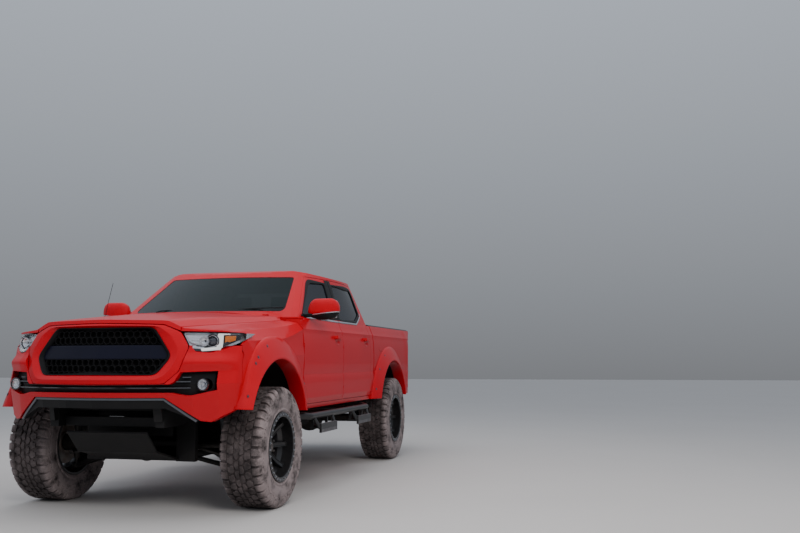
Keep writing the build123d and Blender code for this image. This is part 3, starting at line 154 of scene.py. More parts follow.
def soft(points: Sequence[Flat], reach: float | Sequence[float]) -> SoftLine:
    """Soft line with one reach for all its corners, or one for each point."""
    spans = [reach] * len(points) if isinstance(reach, (int, float)) else list(reach)
    return SoftLine(tuple(points), tuple(spans))


def between(value: float, low: float, high: float) -> float:
    """Smooth step from 0 at low to 1 at high."""
    share = max(0.0, min(1.0, (value - low) / (high - low)))
    return share * share * (3 - 2 * share)


def level(line: Sequence[Flat], height: float) -> float:
    """First coordinate of a rising line where its second one reaches a height."""
    for (a0, b0), (a1, b1) in zip(line, line[1:]):
        if height <= b1:
            return a0 + (a1 - a0) * (height - b0) / (b1 - b0)
    return line[-1][0]


# Hand tools

def clear() -> None:
    """Leave nothing selected."""
    if bpy.context.object and bpy.context.object.mode != "OBJECT":
        bpy.ops.object.mode_set(mode="OBJECT")
    bpy.ops.object.select_all(action="DESELECT")


def pick(*pieces: Piece) -> None:
    """Select only these pieces, with the first one active."""
    clear()
    for piece in pieces:
        piece.select_set(True)
    bpy.context.view_layer.objects.active = pieces[0]


def settle(piece: Piece, name: str) -> Piece:
    """Name a finished piece and put its place into its mesh."""
    pick(piece)
    bpy.ops.object.transform_apply(location=True, rotation=True, scale=True)
    piece.name = name
    piece.data.name = name
    return piece


def edit(piece: Piece, mode: str = "FACE", everything: bool = True) -> None:
    """Open a piece for editing, with all or nothing of it selected."""
    pick(piece)
    bpy.ops.object.mode_set(mode="EDIT")
    bpy.ops.mesh.select_mode(type=mode)
    bpy.ops.mesh.select_all(action="SELECT" if everything else "DESELECT")


def done(piece: Piece) -> Piece:
    """Close a piece after editing."""
    bpy.ops.object.mode_set(mode="OBJECT")
    return piece


def choose_faces(piece: Piece, test: Callable[[Vector, Vector], bool]) -> int:
    """Select the faces whose centre and normal pass a test, in edit mode.

    Args:
        piece: Mesh object that is open for editing.
        test: Takes a face's centre and normal.

    Returns:
        Number of faces chosen.
    """
    bpy.ops.object.mode_set(mode="OBJECT")
    count = 0
    for polygon in piece.data.polygons:
        polygon.select = bool(test(polygon.center, polygon.normal))
        count += polygon.select
    for edge in piece.data.edges:
        edge.select = False
    for vertex in piece.data.vertices:
        vertex.select = False
    for polygon in piece.data.polygons:
        if polygon.select:
            for vertex in polygon.vertices:
                piece.data.vertices[vertex].select = True
    bpy.ops.object.mode_set(mode="EDIT")
    bpy.ops.mesh.select_mode(type="FACE")
    return count


def modify(piece: Piece, kind: str, **settings: object) -> Piece:
    """Add a modifier with its settings and apply it."""
    pick(piece)
    modifier = piece.modifiers.new(kind.title(), kind)
    for key, value in settings.items():
        setattr(modifier, key, value)
    bpy.ops.object.modifier_apply(modifier=modifier.name)
    return piece


def soften_edges(piece: Piece, width: float, segments: int = 2, angle: float = 35.0) -> Piece:
    """Round the sharp edges of a piece by a width in millimetres."""
    return modify(piece, "BEVEL", width=width / 1000, segments=segments, limit_method="ANGLE",
                  angle_limit=math.radians(angle), miter_outer="MITER_ARC", use_clamp_overlap=True)


def smooth(piece: Piece, angle: float = 32.0) -> Piece:
    """Shade a piece smooth across all edges flatter than an angle."""
    pick(piece)
    bpy.ops.object.shade_smooth_by_angle(angle=math.radians(angle))
    return piece


def outward(piece: Piece, merge: float = 0.01) -> Piece:
    """Merge a piece's doubles and turn its faces outwards."""
    edit(piece)
    bpy.ops.mesh.remove_doubles(threshold=merge / 1000)
    bpy.ops.mesh.normals_make_consistent(inside=False)
    return done(piece)


def thicken(sheet: Piece, thickness: float, offset: float = -1.0) -> Piece:
    """Give a sheet a thickness in millimetres."""
    return modify(sheet, "SOLIDIFY", thickness=thickness / 1000, offset=offset)


def cut_off(place: Vector, way: Point, fill: bool = False) -> None:
    """Cut away what lies past a plane, in edit mode."""
    bpy.ops.mesh.select_all(action="SELECT")
    bpy.ops.mesh.bisect(plane_co=place, plane_no=way, use_fill=fill, clear_outer=True)


def joined(name: str, pieces: Sequence[Piece]) -> Piece:
    """Join pieces into one."""
    pick(*pieces)
    if len(pieces) > 1:
        bpy.ops.object.join()
    return settle(bpy.context.object, name)


def copy_of(piece: Piece, move: Vector = Vector((0, 0, 0))) -> Piece:
    """Copy of a piece with its own mesh, moved by metres."""
    pick(piece)
    bpy.ops.object.duplicate()
    twin = bpy.context.object
    twin.location = Vector(twin.location) + move
    return settle(twin, piece.name + "_copy")


def facing(piece: Piece) -> float:
    """Signed sum that changes sign when a mesh is turned inside out or mirrored."""
    total = 0.0
    vertices = piece.data.vertices
    for polygon in piece.data.polygons:
        corners = [vertices[i].co for i in polygon.vertices]
        total += sum(corners[0].dot(b.cross(c)) for b, c in zip(corners[1:], corners[2:]))
    return total


def mirrored(piece: Piece, name: str) -> Piece:
    """Copy of a piece on the vehicle's other side, with its faces outwards."""
    twin = copy_of(piece)
    before = facing(twin)
    twin.scale.x = -1
    settle(twin, name)
    if before * facing(twin) < 0:
        edit(twin)
        bpy.ops.mesh.flip_normals()
        done(twin)
    return twin


def both_sides(piece: Piece, name: str) -> Piece:
    """A piece joined with its mirror image."""
    return joined(name, [piece, mirrored(piece, name + "_twin")])


def turned(piece: Piece, angle: float, axis: str, centre: Vector) -> Piece:
    """Turn a piece about an axis through a centre.

    Args:
        piece: Piece to turn.
        angle: Degrees, right-handed about the axis.
        axis: X, Y or Z.
        centre: Point on the axis.

    Returns:
        The turned piece.
    """
    spin = Matrix.Rotation(math.radians(angle), 4, axis)
    piece.matrix_world = Matrix.Translation(centre) @ spin @ Matrix.Translation(-centre) @ piece.matrix_world
    return settle(piece, piece.name)


def plate(name: str, corners: Sequence[Vector], push: Vector, round_by: float = 0.0,
          segments: int = 2) -> Piece:
    """Plate from a flat outline, pushed out to a thickness.

    Args:
        name: Name of the piece.
        corners: Outline corners in metres.
        push: Way and distance of the extrusion.
        round_by: Width of the rounded edges in millimetres.
        segments: Steps of the rounding.

    Returns:
        The plate.
    """
    clear()
    bpy.ops.mesh.primitive_circle_add(vertices=len(corners), radius=1, fill_type="NGON")
    piece = bpy.context.object
    for vertex, corner in zip(piece.data.vertices, corners):
        vertex.co = corner
    edit(piece)
    bpy.ops.mesh.extrude_region_move(TRANSFORM_OT_translate={"value": push})
    done(piece)
    outward(piece, 0.001)
    if round_by:
        soften_edges(piece, round_by, segments)
    return settle(piece, name)


def bar(name: str, low: Point, high: Point, round_by: float = 3.0, segments: int = 2) -> Piece:
    """Rounded bar between two corners, in millimetres from the front axle."""
    clear()
    a, b = at(*low), at(*high)
    bpy.ops.mesh.primitive_cube_add(size=1, location=(a + b) / 2, scale=b - a)
    piece = settle(bpy.context.object, name)
    if round_by:
        soften_edges(piece, round_by, segments)
    return piece


def lathed(name: str, section: Sequence[Flat], centre: Vector, axis: Vector, steps: int = 64,
           closed: bool = True) -> Piece:
    """Ring or cup spun from a section.

    Args:
        name: Name of the piece.
        section: Pairs of distance along the axis and radius, in millimetres.
        centre: Point on the axis, in metres.
        axis: Direction of the axis.
        steps: Steps of a full turn.
        closed: True if the section closes on itself.

    Returns:
        The spun piece.
    """
    clear()
    way = axis.normalized()
    side = way.orthogonal().normalized()
    bpy.ops.mesh.primitive_circle_add(vertices=len(section), radius=1, fill_type="NOTHING")
    piece = bpy.context.object
    for vertex, (along, radius) in zip(piece.data.vertices, section):
        vertex.co = centre + way * (along / 1000) + side * (radius / 1000)
    if not closed:
        edit(piece, "EDGE", False)
        bpy.ops.object.mode_set(mode="OBJECT")
        ends = {0, len(section) - 1}
        for edge in piece.data.edges:
            edge.select = set(edge.vertices) == ends
        bpy.ops.object.mode_set(mode="EDIT")
        bpy.ops.mesh.delete(type="EDGE")
        done(piece)
    edit(piece, "VERT")
    bpy.ops.mesh.spin(steps=steps, angle=2 * math.pi, center=centre, axis=way)
    done(piece)
    outward(piece, 0.02)
    return settle(piece, name)


def tube(name: str, points: Sequence[Vector], radius: float, sides: int,
         smooth_line: bool = False) -> Piece:
    """Round tube along points in metres, as a mesh, with its radius in millimetres."""
    clear()
    bpy.ops.curve.primitive_nurbs_path_add()
    line = bpy.context.object
    line.data.splines.clear()
    spline = line.data.splines.new("NURBS" if smooth_line else "POLY")
    spline.points.add(len(points) - 1)
    for knot, point in zip(spline.points, points):
        knot.co = (*point, 1)
    if smooth_line:
        spline.order_u = 3
        spline.use_endpoint_u = True
        spline.resolution_u = 8
    line.location = (0, 0, 0)
    line.data.dimensions = "3D"
    line.data.bevel_depth = radius / 1000
    line.data.bevel_resolution = sides
    line.data.use_fill_caps = True
    pick(line)
    bpy.ops.object.convert(target="MESH")
    return settle(bpy.context.object, name)


def spread(name: str, across: int, along: int, place: Callable[[float, float], Vector]) -> Piece:
    """Grid laid onto a form.

    Args:
        name: Name of the piece.
        across: Cells in the first direction.
        along: Cells in the second direction.
        place: Point in metres for two shares from 0 to 1.

    Returns:
        The sheet, with its doubles merged.
    """
    clear()
    bpy.ops.mesh.primitive_grid_add(x_subdivisions=across, y_subdivisions=along, size=1)
    piece = bpy.context.object
    for vertex in piece.data.vertices:
        vertex.co = place(vertex.co.x + 0.5, vertex.co.y + 0.5)
    edit(piece)
    bpy.ops.mesh.remove_doubles(threshold=0.00001)
    done(piece)
    return settle(piece, name)


def amid(corners: Sequence[Flat], u: float, v: float) -> Flat:
    """Place between four corners for two shares from 0 to 1."""
    a, b, c, d = corners
    return tuple((a[k] * (1 - u) + b[k] * u) * (1 - v) + (d[k] * (1 - u) + c[k] * u) * v for k in (0, 1))


def finished(piece: Piece, body: str, material: bpy.types.Material, slot: Slot,
             stands_for: Iterable[str] = ()) -> Piece:
    """Give a piece its finish and let it ride on a body.

    Args:
        piece: Finished mesh.
        body: Body that carries it.
        material: Its material.
        slot: Not used.
        stands_for: CAD nodes that it replaces.

    Returns:
        The piece.
    """
    piece.data.materials.clear()
    piece.data.materials.append(material)
    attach(piece, body)
    nodes = list(stands_for)
    if nodes:
        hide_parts(*nodes)
    LOG.info("%s: %d faces on %s", piece.name, len(piece.data.polygons), body)
    return piece


def put(name: str, pieces: Sequence[Piece], material: bpy.types.Material, slot: Slot,
        angle: float | None = None, both: bool = False) -> Piece:
    """Join pieces of the body into one and finish it.

    Args:
        name: Name of the whole.
        pieces: Its parts.
        material: Its material.
        slot: The record's slot for that finish.
        angle: Steepest edge that is shaded smooth, or None to leave the shading.
        both: True to add the mirror image.

    Returns:
        The finished piece.
    """
    piece = joined(name, pieces)
    if angle is not None:
        smooth(piece, angle)
    if both:
        piece = both_sides(piece, name)
    return finished(piece, "body", material, slot)


def put_pair(left: Piece, body: str, material: bpy.types.Material, slot: Slot, stands: str = "") -> None:
    """Finish a left piece and its mirror image, each for its own body.

    Args:
        left: Piece whose name holds the word left.
        body: Name of the bodies, without the side.
        material: Their material.
        slot: The record's slot for that finish.
        stands: Name of the CAD nodes that they replace, without the side.
    """
    right = mirrored(left, left.name.replace("left", "right"))
    for side, piece in (("left", left), ("right", right)):
        finished(piece, f"{body}_{side}", material, slot, [f"{stands}_{side}"] if stands else [])


# Shared shader groups

def new_group(name: str, inputs: dict[str, tuple[str, object]],
              outputs: dict[str, str]) -> bpy.types.NodeTree:
    """Empty shader group with named sockets.

    Args:
        name: Name of the group.
        inputs: Socket kind and default value by name.
        outputs: Socket kind by name.

    Returns:
        The group.
    """
    tree = bpy.data.node_groups.new(name, "ShaderNodeTree")
    for key, (kind, value) in inputs.items():
        socket = tree.interface.new_socket(name=key, in_out="INPUT", socket_type=kind)
        if value is not None:
            socket.default_value = value
    for key, kind in outputs.items():
        tree.interface.new_socket(name=key, in_out="OUTPUT", socket_type=kind)
    return tree


class Wiring:
    """Adds and links nodes in one tree."""

    def __init__(self, tree: bpy.types.NodeTree) -> None:
        """Keep the tree."""
        self.tree = tree

    def add(self, kind: str, inputs: dict[object, object] | None = None,
            **settings: object) -> bpy.types.Node:
        """Add a node, set its attributes, and set or link its inputs.

        Args:
            kind: Node type.
            inputs: Value or output socket by input name or number.
            **settings: Attributes of the node.

        Returns:
            The node.
        """
        node = self.tree.nodes.new(kind)
        for key, value in settings.items():
            setattr(node, key, value)
        self.feed(node, inputs or {})
        return node

    def feed(self, node: bpy.types.Node, inputs: dict[object, object]) -> None:
        """Set or link inputs of a node."""
        for key, value in inputs.items():
            if isinstance(value, bpy.types.NodeSocket):
                self.tree.links.new(value, node.inputs[key])
            else:
                node.inputs[key].default_value = value

    def math(self, operation: str, first: object, second: object = 0.0,
             clamp: bool = False) -> bpy.types.NodeSocket:
        """Result of a math node."""
        node = self.add("ShaderNodeMath", {0: first, 1: second}, operation=operation, use_clamp=clamp)
        return node.outputs[0]

    def mix(self, share: object, first: object, second: object) -> bpy.types.NodeSocket:
        """Mix of two colours."""
        node = self.add("ShaderNodeMix", {0: share, 6: first, 7: second}, data_type="RGBA")
        return node.outputs[2]

    def between(self, value: object, low: float, high: float, first: float = 0.0,
                last: float = 1.0) -> bpy.types.NodeSocket:
        """Value mapped from one range to another, clamped."""
        node = self.add("ShaderNodeMapRange", {0: value, 1: low, 2: high, 3: first, 4: last}, clamp=True)
        return node.outputs[0]

    def noise(self, scale: object, place: object, detail: float = 3.0,
              rough: float = 0.55) -> bpy.types.NodeSocket:
        """Value of a noise texture at a place."""
        inputs = {"Vector": place, "Scale": scale, "Detail": detail, "Roughness": rough}
        return self.add("ShaderNodeTexNoise", inputs).outputs[0]


def blank(name: str) -> tuple[bpy.types.Material, Wiring, bpy.types.Node]:
    """New material with its wiring and its shader."""
    material = bpy.data.materials.new(name)
    material.use_nodes = True
    return material, Wiring(material.node_tree), material.node_tree.nodes["Principled BSDF"]


COLOUR = "NodeSocketColor"
NUMBER = "NodeSocketFloat"
VECTOR = "NodeSocketVector"
GREY = (0.5, 0.5, 0.5, 1)


def dust_group() -> bpy.types.NodeTree:
    """Road dust that gathers low down and in patches."""
    tree = new_group("Road dust", {
        "Color": (COLOUR, GREY), "Roughness": (NUMBER, 0.5), "Dust": (COLOUR, (0.35, 0.24, 0.2, 1)),
        "Amount": (NUMBER, 0.5), "Top": (NUMBER, 1.0), "Scale": (NUMBER, 6.0)},
        {"Color": COLOUR, "Roughness": NUMBER, "Mask": NUMBER})
    wire = Wiring(tree)
    given = wire.add("NodeGroupInput")
    place = wire.add("ShaderNodeTexCoord").outputs["Object"]
    height = wire.add("ShaderNodeSeparateXYZ", {0: place}).outputs["Z"]
    fall = wire.math("SUBTRACT", 1.0, wire.math("DIVIDE", height, given.outputs["Top"]), clamp=True)
    cloud = wire.noise(given.outputs["Scale"], place, 6.0, 0.65)
    speck = wire.noise(wire.math("MULTIPLY", given.outputs["Scale"], 22.0), place, 2.0, 0.5)
    blot = wire.math("MULTIPLY", wire.between(cloud, 0.32, 0.72), wire.between(speck, 0.25, 0.65, 0.45, 1.0))
    mask = wire.math("MULTIPLY", wire.math("MULTIPLY", blot, fall), given.outputs["Amount"], clamp=True)
    rough = wire.add("ShaderNodeMix", {0: mask, 2: given.outputs["Roughness"], 3: 0.92}, data_type="FLOAT")
    wire.add("NodeGroupOutput", {"Color": wire.mix(mask, given.outputs["Color"], given.outputs["Dust"]),
                                 "Roughness": rough.outputs[0], "Mask": mask})
    return tree


def grain_group() -> bpy.types.NodeTree:
    """Fine moulded or cast grain as a normal, with its value."""
    tree = new_group("Fine grain", {
        "Scale": (NUMBER, 300.0), "Strength": (NUMBER, 0.2), "Depth": (NUMBER, 0.001)},
        {"Normal": VECTOR, "Value": NUMBER})
    wire = Wiring(tree)
    given = wire.add("NodeGroupInput")
    place = wire.add("ShaderNodeTexCoord").outputs["Object"]
    fine = wire.noise(given.outputs["Scale"], place, 3.0, 0.6)
    coarse = wire.noise(wire.math("MULTIPLY", given.outputs["Scale"], 0.23), place, 2.0, 0.5)
    value = wire.math("ADD", wire.math("MULTIPLY", fine, 0.7), wire.math("MULTIPLY", coarse, 0.3))
    bump = wire.add("ShaderNodeBump", {
        "Strength": given.outputs["Strength"], "Distance": given.outputs["Depth"], "Height": value})
    wire.add("NodeGroupOutput", {"Normal": bump.outputs[0], "Value": value})
    return tree


def shade_group() -> bpy.types.NodeTree:
    """Slow variation of a colour's brightness over a surface."""
    tree = new_group("Slow variation", {
        "Color": (COLOUR, GREY), "Dark": (COLOUR, (0.4, 0.4, 0.4, 1)), "Scale": (NUMBER, 3.0),
        "Amount": (NUMBER, 0.5)}, {"Color": COLOUR, "Value": NUMBER})
    wire = Wiring(tree)
    given = wire.add("NodeGroupInput")
    place = wire.add("ShaderNodeTexCoord").outputs["Object"]
    value = wire.between(wire.noise(given.outputs["Scale"], place, 4.0, 0.55), 0.35, 0.68)
    share = wire.math("MULTIPLY", value, given.outputs["Amount"])
    colour = wire.mix(share, given.outputs["Color"], given.outputs["Dark"])
    wire.add("NodeGroupOutput", {"Color": colour, "Value": value})
    return tree


class Groups:
    """The shared groups, built once."""

    def __init__(self) -> None:
        """Build all of them."""
        self.dust = dust_group()
        self.grain = grain_group()
        self.shade = shade_group()


# Finishes

Colour = tuple[float, float, float]

# Distance in metres of a wheel's middle plane from the centre plane, and for the dust on its walls the
# distances from that plane at which it starts and is full, with the share of dust before the first
WHEEL_PLANE = 0.828
WALL_DUST = (0.100, 0.146, 0.24)


@dataclass(frozen=True)
class Finish:
    """A surface with slow variation, grain and dust, and a clear coat where it has one."""

    name: str
    colour: Colour
    dark: Colour
    roughness: float = 0.5
    metallic: float = 0.0
    coat: float = 0.0
    coat_roughness: float = 0.03
    shade_scale: float = 3.0
    shade_amount: float = 0.5
    grain_scale: float = 300.0
    grain_strength: float = 0.15
    grain_depth: float = 0.001
    dust: float = 0.3
    dust_top: float = 1.0
    dust_scale: float = 5.0
    dust_colour: Colour = (0.30, 0.20, 0.16)
    specular: float = 0.5
    side_dust: float = 0.0

    def build(self, groups: Groups) -> bpy.types.Material:
        """Make the material.

        Args:
            groups: Shared shader groups.

        Returns:
            The material.
        """
        material, wire, shader = blank(self.name)
        shade = wire.add("ShaderNodeGroup", {
            "Color": (*self.colour, 1), "Dark": (*self.dark, 1), "Scale": self.shade_scale,
            "Amount": self.shade_amount}, node_tree=groups.shade)
        grain = wire.add("ShaderNodeGroup", {
            "Scale": self.grain_scale, "Strength": self.grain_strength,
            "Depth": self.grain_depth}, node_tree=groups.grain)
        low, high = self.roughness * 0.88, min(1.0, self.roughness * 1.12)
        rough = wire.between(grain.outputs["Value"], 0.3, 0.7, low, high)
        dust = wire.add("ShaderNodeGroup", {
            "Color": shade.outputs["Color"], "Roughness": rough, "Dust": (*self.dust_colour, 1),
            "Amount": self.dust, "Top": self.dust_top, "Scale": self.dust_scale}, node_tree=groups.dust)
        if self.side_dust:
            place = wire.add("ShaderNodeTexCoord").outputs["Object"]
            across = wire.add("ShaderNodeSeparateXYZ", {0: place}).outputs["X"]
            from_plane = wire.math("SUBTRACT", wire.math("ABSOLUTE", across), WHEEL_PLANE)
            side = wire.between(wire.math("ABSOLUTE", from_plane), *WALL_DUST, 1.0)
            wire.feed(dust, {"Amount": wire.math("MULTIPLY", side, self.side_dust)})
        wire.feed(shader, {"Base Color": dust.outputs["Color"], "Roughness": dust.outputs["Roughness"],
                           "Normal": grain.outputs["Normal"], "Metallic": self.metallic,
                           "Specular IOR Level": self.specular})
        if self.coat:
            clear_part = wire.math("SUBTRACT", self.coat, dust.outputs["Mask"], clamp=True)
            wire.feed(shader, {"Coat Roughness": self.coat_roughness, "Coat Weight": clear_part})
        return material


@dataclass(frozen=True)
class GlassFinish:
    """Clear or tinted glazing with a faint film of dust."""

    name: str
    tint: Colour
    clear: float
    roughness: float = 0.02
    index: float = 1.3
    coat: float = 0.3
    edge: float = 1.0

    def build(self, groups: Groups) -> bpy.types.Material:
        """Make the material: a glossy face over a tinted, see-through one.

        Args:
            groups: Shared shader groups.

        Returns:
            The material.
        """
        material, wire, shader = blank(self.name)
        shade = wire.add("ShaderNodeGroup", {
            "Color": (*self.tint, 1), "Dark": (*(c * 0.8 for c in self.tint), 1), "Scale": 2.0,
            "Amount": 0.4}, node_tree=groups.shade)
        film = wire.between(shade.outputs["Value"], 0.0, 1.0, self.roughness, self.roughness * 2.5)
        see = wire.add("ShaderNodeLayerWeight", {"Blend": 0.35})
        solid = wire.between(see.outputs["Facing"], 0.0, 1.0, 1.0 - self.clear, self.edge)
        wire.feed(shader, {"Base Color": shade.outputs["Color"], "Roughness": film, "Alpha": solid,
                           "IOR": self.index, "Coat Weight": self.coat, "Coat Roughness": 0.01})
        return material


# The finishes. The numbers of a row are the fields above, in their order.
FINISHES = {
    "paint": Finish("Red paint", (0.45, 0.0006, 0.008), (0.38, 0.0005, 0.007), 0.42, 0.0, 0.32, 0.07, 1.2,
                    0.5, 900, 0.03, 0.0004, 0.12, 0.95, 3.0, (0.24, 0.05, 0.035), 0.10),
    "chassis": Finish("Satin black frame paint", (0.006, 0.006, 0.0065), (0.012, 0.011, 0.011), 0.6, 0.0, 0,
                      0.3, 5, 0.6, 260, 0.25, 0.001, 0.3, 0.7, 7, (0.05, 0.035, 0.03), 0.25),
    "cast": Finish("Cast metal", (0.07, 0.066, 0.062), (0.04, 0.037, 0.036), 0.6, 0.7, 0, 0.1, 9, 0.8, 420,
                   0.6, 0.001, 0.5, 0.8, 7, (0.08, 0.055, 0.045)),
    "steel": Finish("Steel with light rust", (0.32, 0.31, 0.30), (0.17, 0.10, 0.07), 0.42, 0.9, 0, 0.1, 12,
                    0.6, 500, 0.3, 0.0008, 0.55, 0.9, 8),
    "step": Finish("Textured black step coat", (0.012, 0.012, 0.013), (0.020, 0.020, 0.021), 0.42, 0.2, 0.15,
                   0.2, 6, 0.7, 900, 0.5, 0.0006, 0.3, 0.9, 9, (0.10, 0.085, 0.08)),
    "tread": Finish("Worn grey step edge", (0.13, 0.127, 0.135), (0.07, 0.068, 0.073), 0.5, 0.5, 0, 0.1, 18,
                    0.9, 600, 0.6, 0.0008, 0.5, 0.9, 12, (0.26, 0.21, 0.20)),
    "damper": Finish("Damper enamel", (0.05, 0.055, 0.065), (0.03, 0.03, 0.035), 0.35, 0.2, 0.5, 0.15, 6, 0.6,
                     300, 0.1, 0.001, 0.6, 1.2, 8),
    "tank": Finish("Tank shell", (0.008, 0.008, 0.0085), (0.014, 0.013, 0.013), 0.65, 0.0, 0, 0.1, 6, 0.6,
                   350, 0.35, 0.001, 0.35, 0.8, 6, (0.06, 0.045, 0.04), 0.25),
    "plastic": Finish("Moulded black plastic", (0.006, 0.006, 0.0068), (0.011, 0.0105, 0.011), 0.46, 0.0, 0,
                      0.1, 5, 0.6, 1100, 0.45, 0.0005, 0.16, 0.9, 5, (0.06, 0.045, 0.04), 0.18),
    "gloss": Finish("Gloss black trim", (0.006, 0.006, 0.008), (0.012, 0.012, 0.016), 0.16, 0.0, 0.8, 0.03, 4,
                    0.5, 700, 0.05, 0.0004, 0.2, 0.9, 4),
    "rubber": Finish("Seal rubber", (0.012, 0.012, 0.012), (0.022, 0.021, 0.02), 0.72, 0.0, 0, 0.1, 8, 0.7,
                     800, 0.4, 0.0006, 0.3, 1.0, 6),
    "bright": Finish("Bright metal trim", (0.62, 0.63, 0.66), (0.55, 0.56, 0.6), 0.16, 1.0, 0, 0.1, 8, 0.4,
                     900, 0.05, 0.0004, 0.2, 0.9, 6),
    "rim": Finish("Satin black wheel enamel", (0.010, 0.010, 0.011), (0.018, 0.017, 0.018), 0.38, 0.1, 0.35,
                  0.2, 8, 0.6, 500, 0.15, 0.0006, 0.12, 0.9, 12, (0.10, 0.08, 0.075), 0.4),
    "hub": Finish("Dusty hub enamel", (0.03, 0.03, 0.032), (0.06, 0.055, 0.054), 0.42, 0.4, 0.2, 0.2, 12, 0.7,
                  500, 0.2, 0.0006, 0.7, 1.2, 12, (0.26, 0.21, 0.19)),
    "tyre": Finish("Dusty tread rubber", (0.018, 0.0145, 0.0145), (0.034, 0.027, 0.026), 0.85, 0.0, 0, 0.1,
                   14, 0.7, 420, 0.5, 0.001, 1.0, 2.6, 10, (0.235, 0.192, 0.19), 0.3, 2.8),
    "fabric": Finish("Woven seat cloth", (0.035, 0.035, 0.04), (0.02, 0.02, 0.023), 0.9, 0.0, 0, 0.1, 40, 0.6,
                     1400, 0.7, 0.0006, 0.1, 1.2, 5),
    "clear": GlassFinish("Clear lamp lens", (0.03, 0.032, 0.035), 0.97, 0.02, 1.45, 0.6, 0.16),
    "window": GlassFinish("Dark tinted glass", (0.002, 0.004, 0.009), 0.2, 0.02, 1.25, 0.12),
    "screen": GlassFinish("Windscreen glass", (0.003, 0.008, 0.008), 0.5, 0.02, 1.25, 0.18),
    "reflector": Finish("Lamp reflector", (0.84, 0.85, 0.88), (0.60, 0.61, 0.65), 0.22, 0.85, 0, 0.1, 30, 0.5,
                        900, 0.03, 0.0004, 0.0, 1.0, 5),
    "amber": Finish("Amber marker", (0.48, 0.12, 0.004), (0.34, 0.07, 0.003), 0.2, 0.0, 0.9, 0.02, 60, 0.6,
                    400, 0.3, 0.001, 0.1, 1.0, 5),
    "lamp_red": Finish("Red lamp lens", (0.17, 0.0015, 0.003), (0.10, 0.001, 0.002), 0.12, 0.0, 1.0, 0.02, 40,
                       0.6, 260, 0.5, 0.0015, 0.25, 1.2, 5),
    "light_bar": Finish("White light guide", (0.92, 0.95, 0.94), (0.82, 0.88, 0.86), 0.25, 0.0, 0.6, 0.05, 25,
                        0.4, 600, 0.1, 0.0005, 0.1, 1.0, 5),
    "shadow": Finish("Unlit black", (0.004, 0.004, 0.004), (0.006, 0.006, 0.006), 0.9, 0.0, 0, 0.1, 5, 0.6,
                     700, 0.3, 0.001, 0.1, 0.8, 5, specular=0.1),
    "band": Finish("Blue-black band", (0.003, 0.003, 0.012), (0.002, 0.002, 0.007), 0.38, 0.0, 0, 0.03, 4,
                   0.5, 900, 0.05, 0.0004, 0.05, 0.9, 4, specular=0.25),
    "dark_glass": Finish("Projector glass", (0.05, 0.055, 0.07), (0.02, 0.022, 0.03), 0.06, 0.2, 1.0, 0.01,
                         60, 0.6, 700, 0.02, 0.0003, 0.0, 1.0, 5),
    "satin": Finish("Satin grey edge", (0.10, 0.11, 0.13), (0.06, 0.065, 0.08), 0.3, 0.6, 0.3, 0.1, 7, 0.5,
                    800, 0.15, 0.0004, 0.2, 1.0, 6),
}


class Palette:
    """All finishes as built materials, one attribute each."""

    def __init__(self) -> None:
        """Build every finish once."""
        groups = Groups()
        for name, finish in FINISHES.items():
            setattr(self, name, finish.build(groups))


# Outer forms of the body

HALF_WIDTH = 903.0

# Heights of the side's section: sill, ends of the full width below and above the crease, crease and belt
SILL, FULL_BELOW, CREASE, FULL_ABOVE, BELT = 655.0, 862.0, 925.0, 1030.0, 1385.0
SILL_DRAW, CREASE_DRAW, BELT_DRAW, BELT_POWER = 22.0, 7.5, 54.8, 3.19

# The solids' flat-faced side as distance from the centre plane and height, and the same of the fenders
SIDE = [(881, 655), (898, 740), (903, 860), (893, 925), (901, 1000), (903, 1080), (886, 1290), (848, 1385)]
FENDER_SIDE = [(903, 1080), (895, 925), (899, 755), (881, 655)]
CREASE_LINES = (905.0, 915.0, 921.0, 925.0, 929.0, 935.0, 945.0, 960.0, 980.0)
TAIL_PLAN = [(905, 3000), (905, 4060), (832, 4400)]

# Rear doors' hinge axis, the heights of its barrels, and the distances within which they keep their shape
REAR_HINGE = (898.0, 1646.0)
BARREL_HEIGHTS = (800.0, 1160.0)
BARREL_RADIUS, BARREL_HALF = 6.0, 20.0

# Door handles' stations and height
HANDLE_STATIONS = {"front": 1478.0, "rear": 2378.0}
HANDLE_HEIGHT = 1201.0

# Front clip by stations: station, centre height, then distance and height of ridge, shoulder, hip and wing
CLIP = [
    (-830.0, 1308.0, 430.0, 1294.0, 535.0, 1236.0, 780.0, 1216.0, 868.0, 1150.0),
    (-300.0, 1383.0, 560.0, 1345.0, 640.0, 1292.0, 820.0, 1256.0, 885.0, 1180.0),
    (250.0, 1418.0, 640.0, 1374.0, 700.0, 1330.0, 832.0, 1292.0, 890.0, 1200.0),
    (640.0, 1440.0, 690.0, 1396.0, 741.0, 1362.0, 846.0, 1346.0, 886.0, 1290.0),
]
NOSE_PLAN = [(0, -915), (220, -898), (430, -849), (640, -769), (780, -668), (866, -560), (903, -400),
             (903, 100)]
NOSE_LEAN, NOSE_UNDERCUT, NOSE_HEIGHT = 0.26, -0.22, 890.0
NOSE_BLEND = (45.0, 90.0)

# Ledge of the bumper under the lamps: its foot, crest and top, its depth, and the planes that cut it
LEDGE_FOOT, LEDGE_CREST, LEDGE_TOP, LEDGE_DEPTH = 962.0, 1032.0, 1092.0, 24.0
LEDGE_LINES = (962.0, 976.0, 990.0, 1004.0, 1018.0, 1026.0, 1032.0, 1038.0, 1046.0, 1060.0, 1074.0, 1090.0)


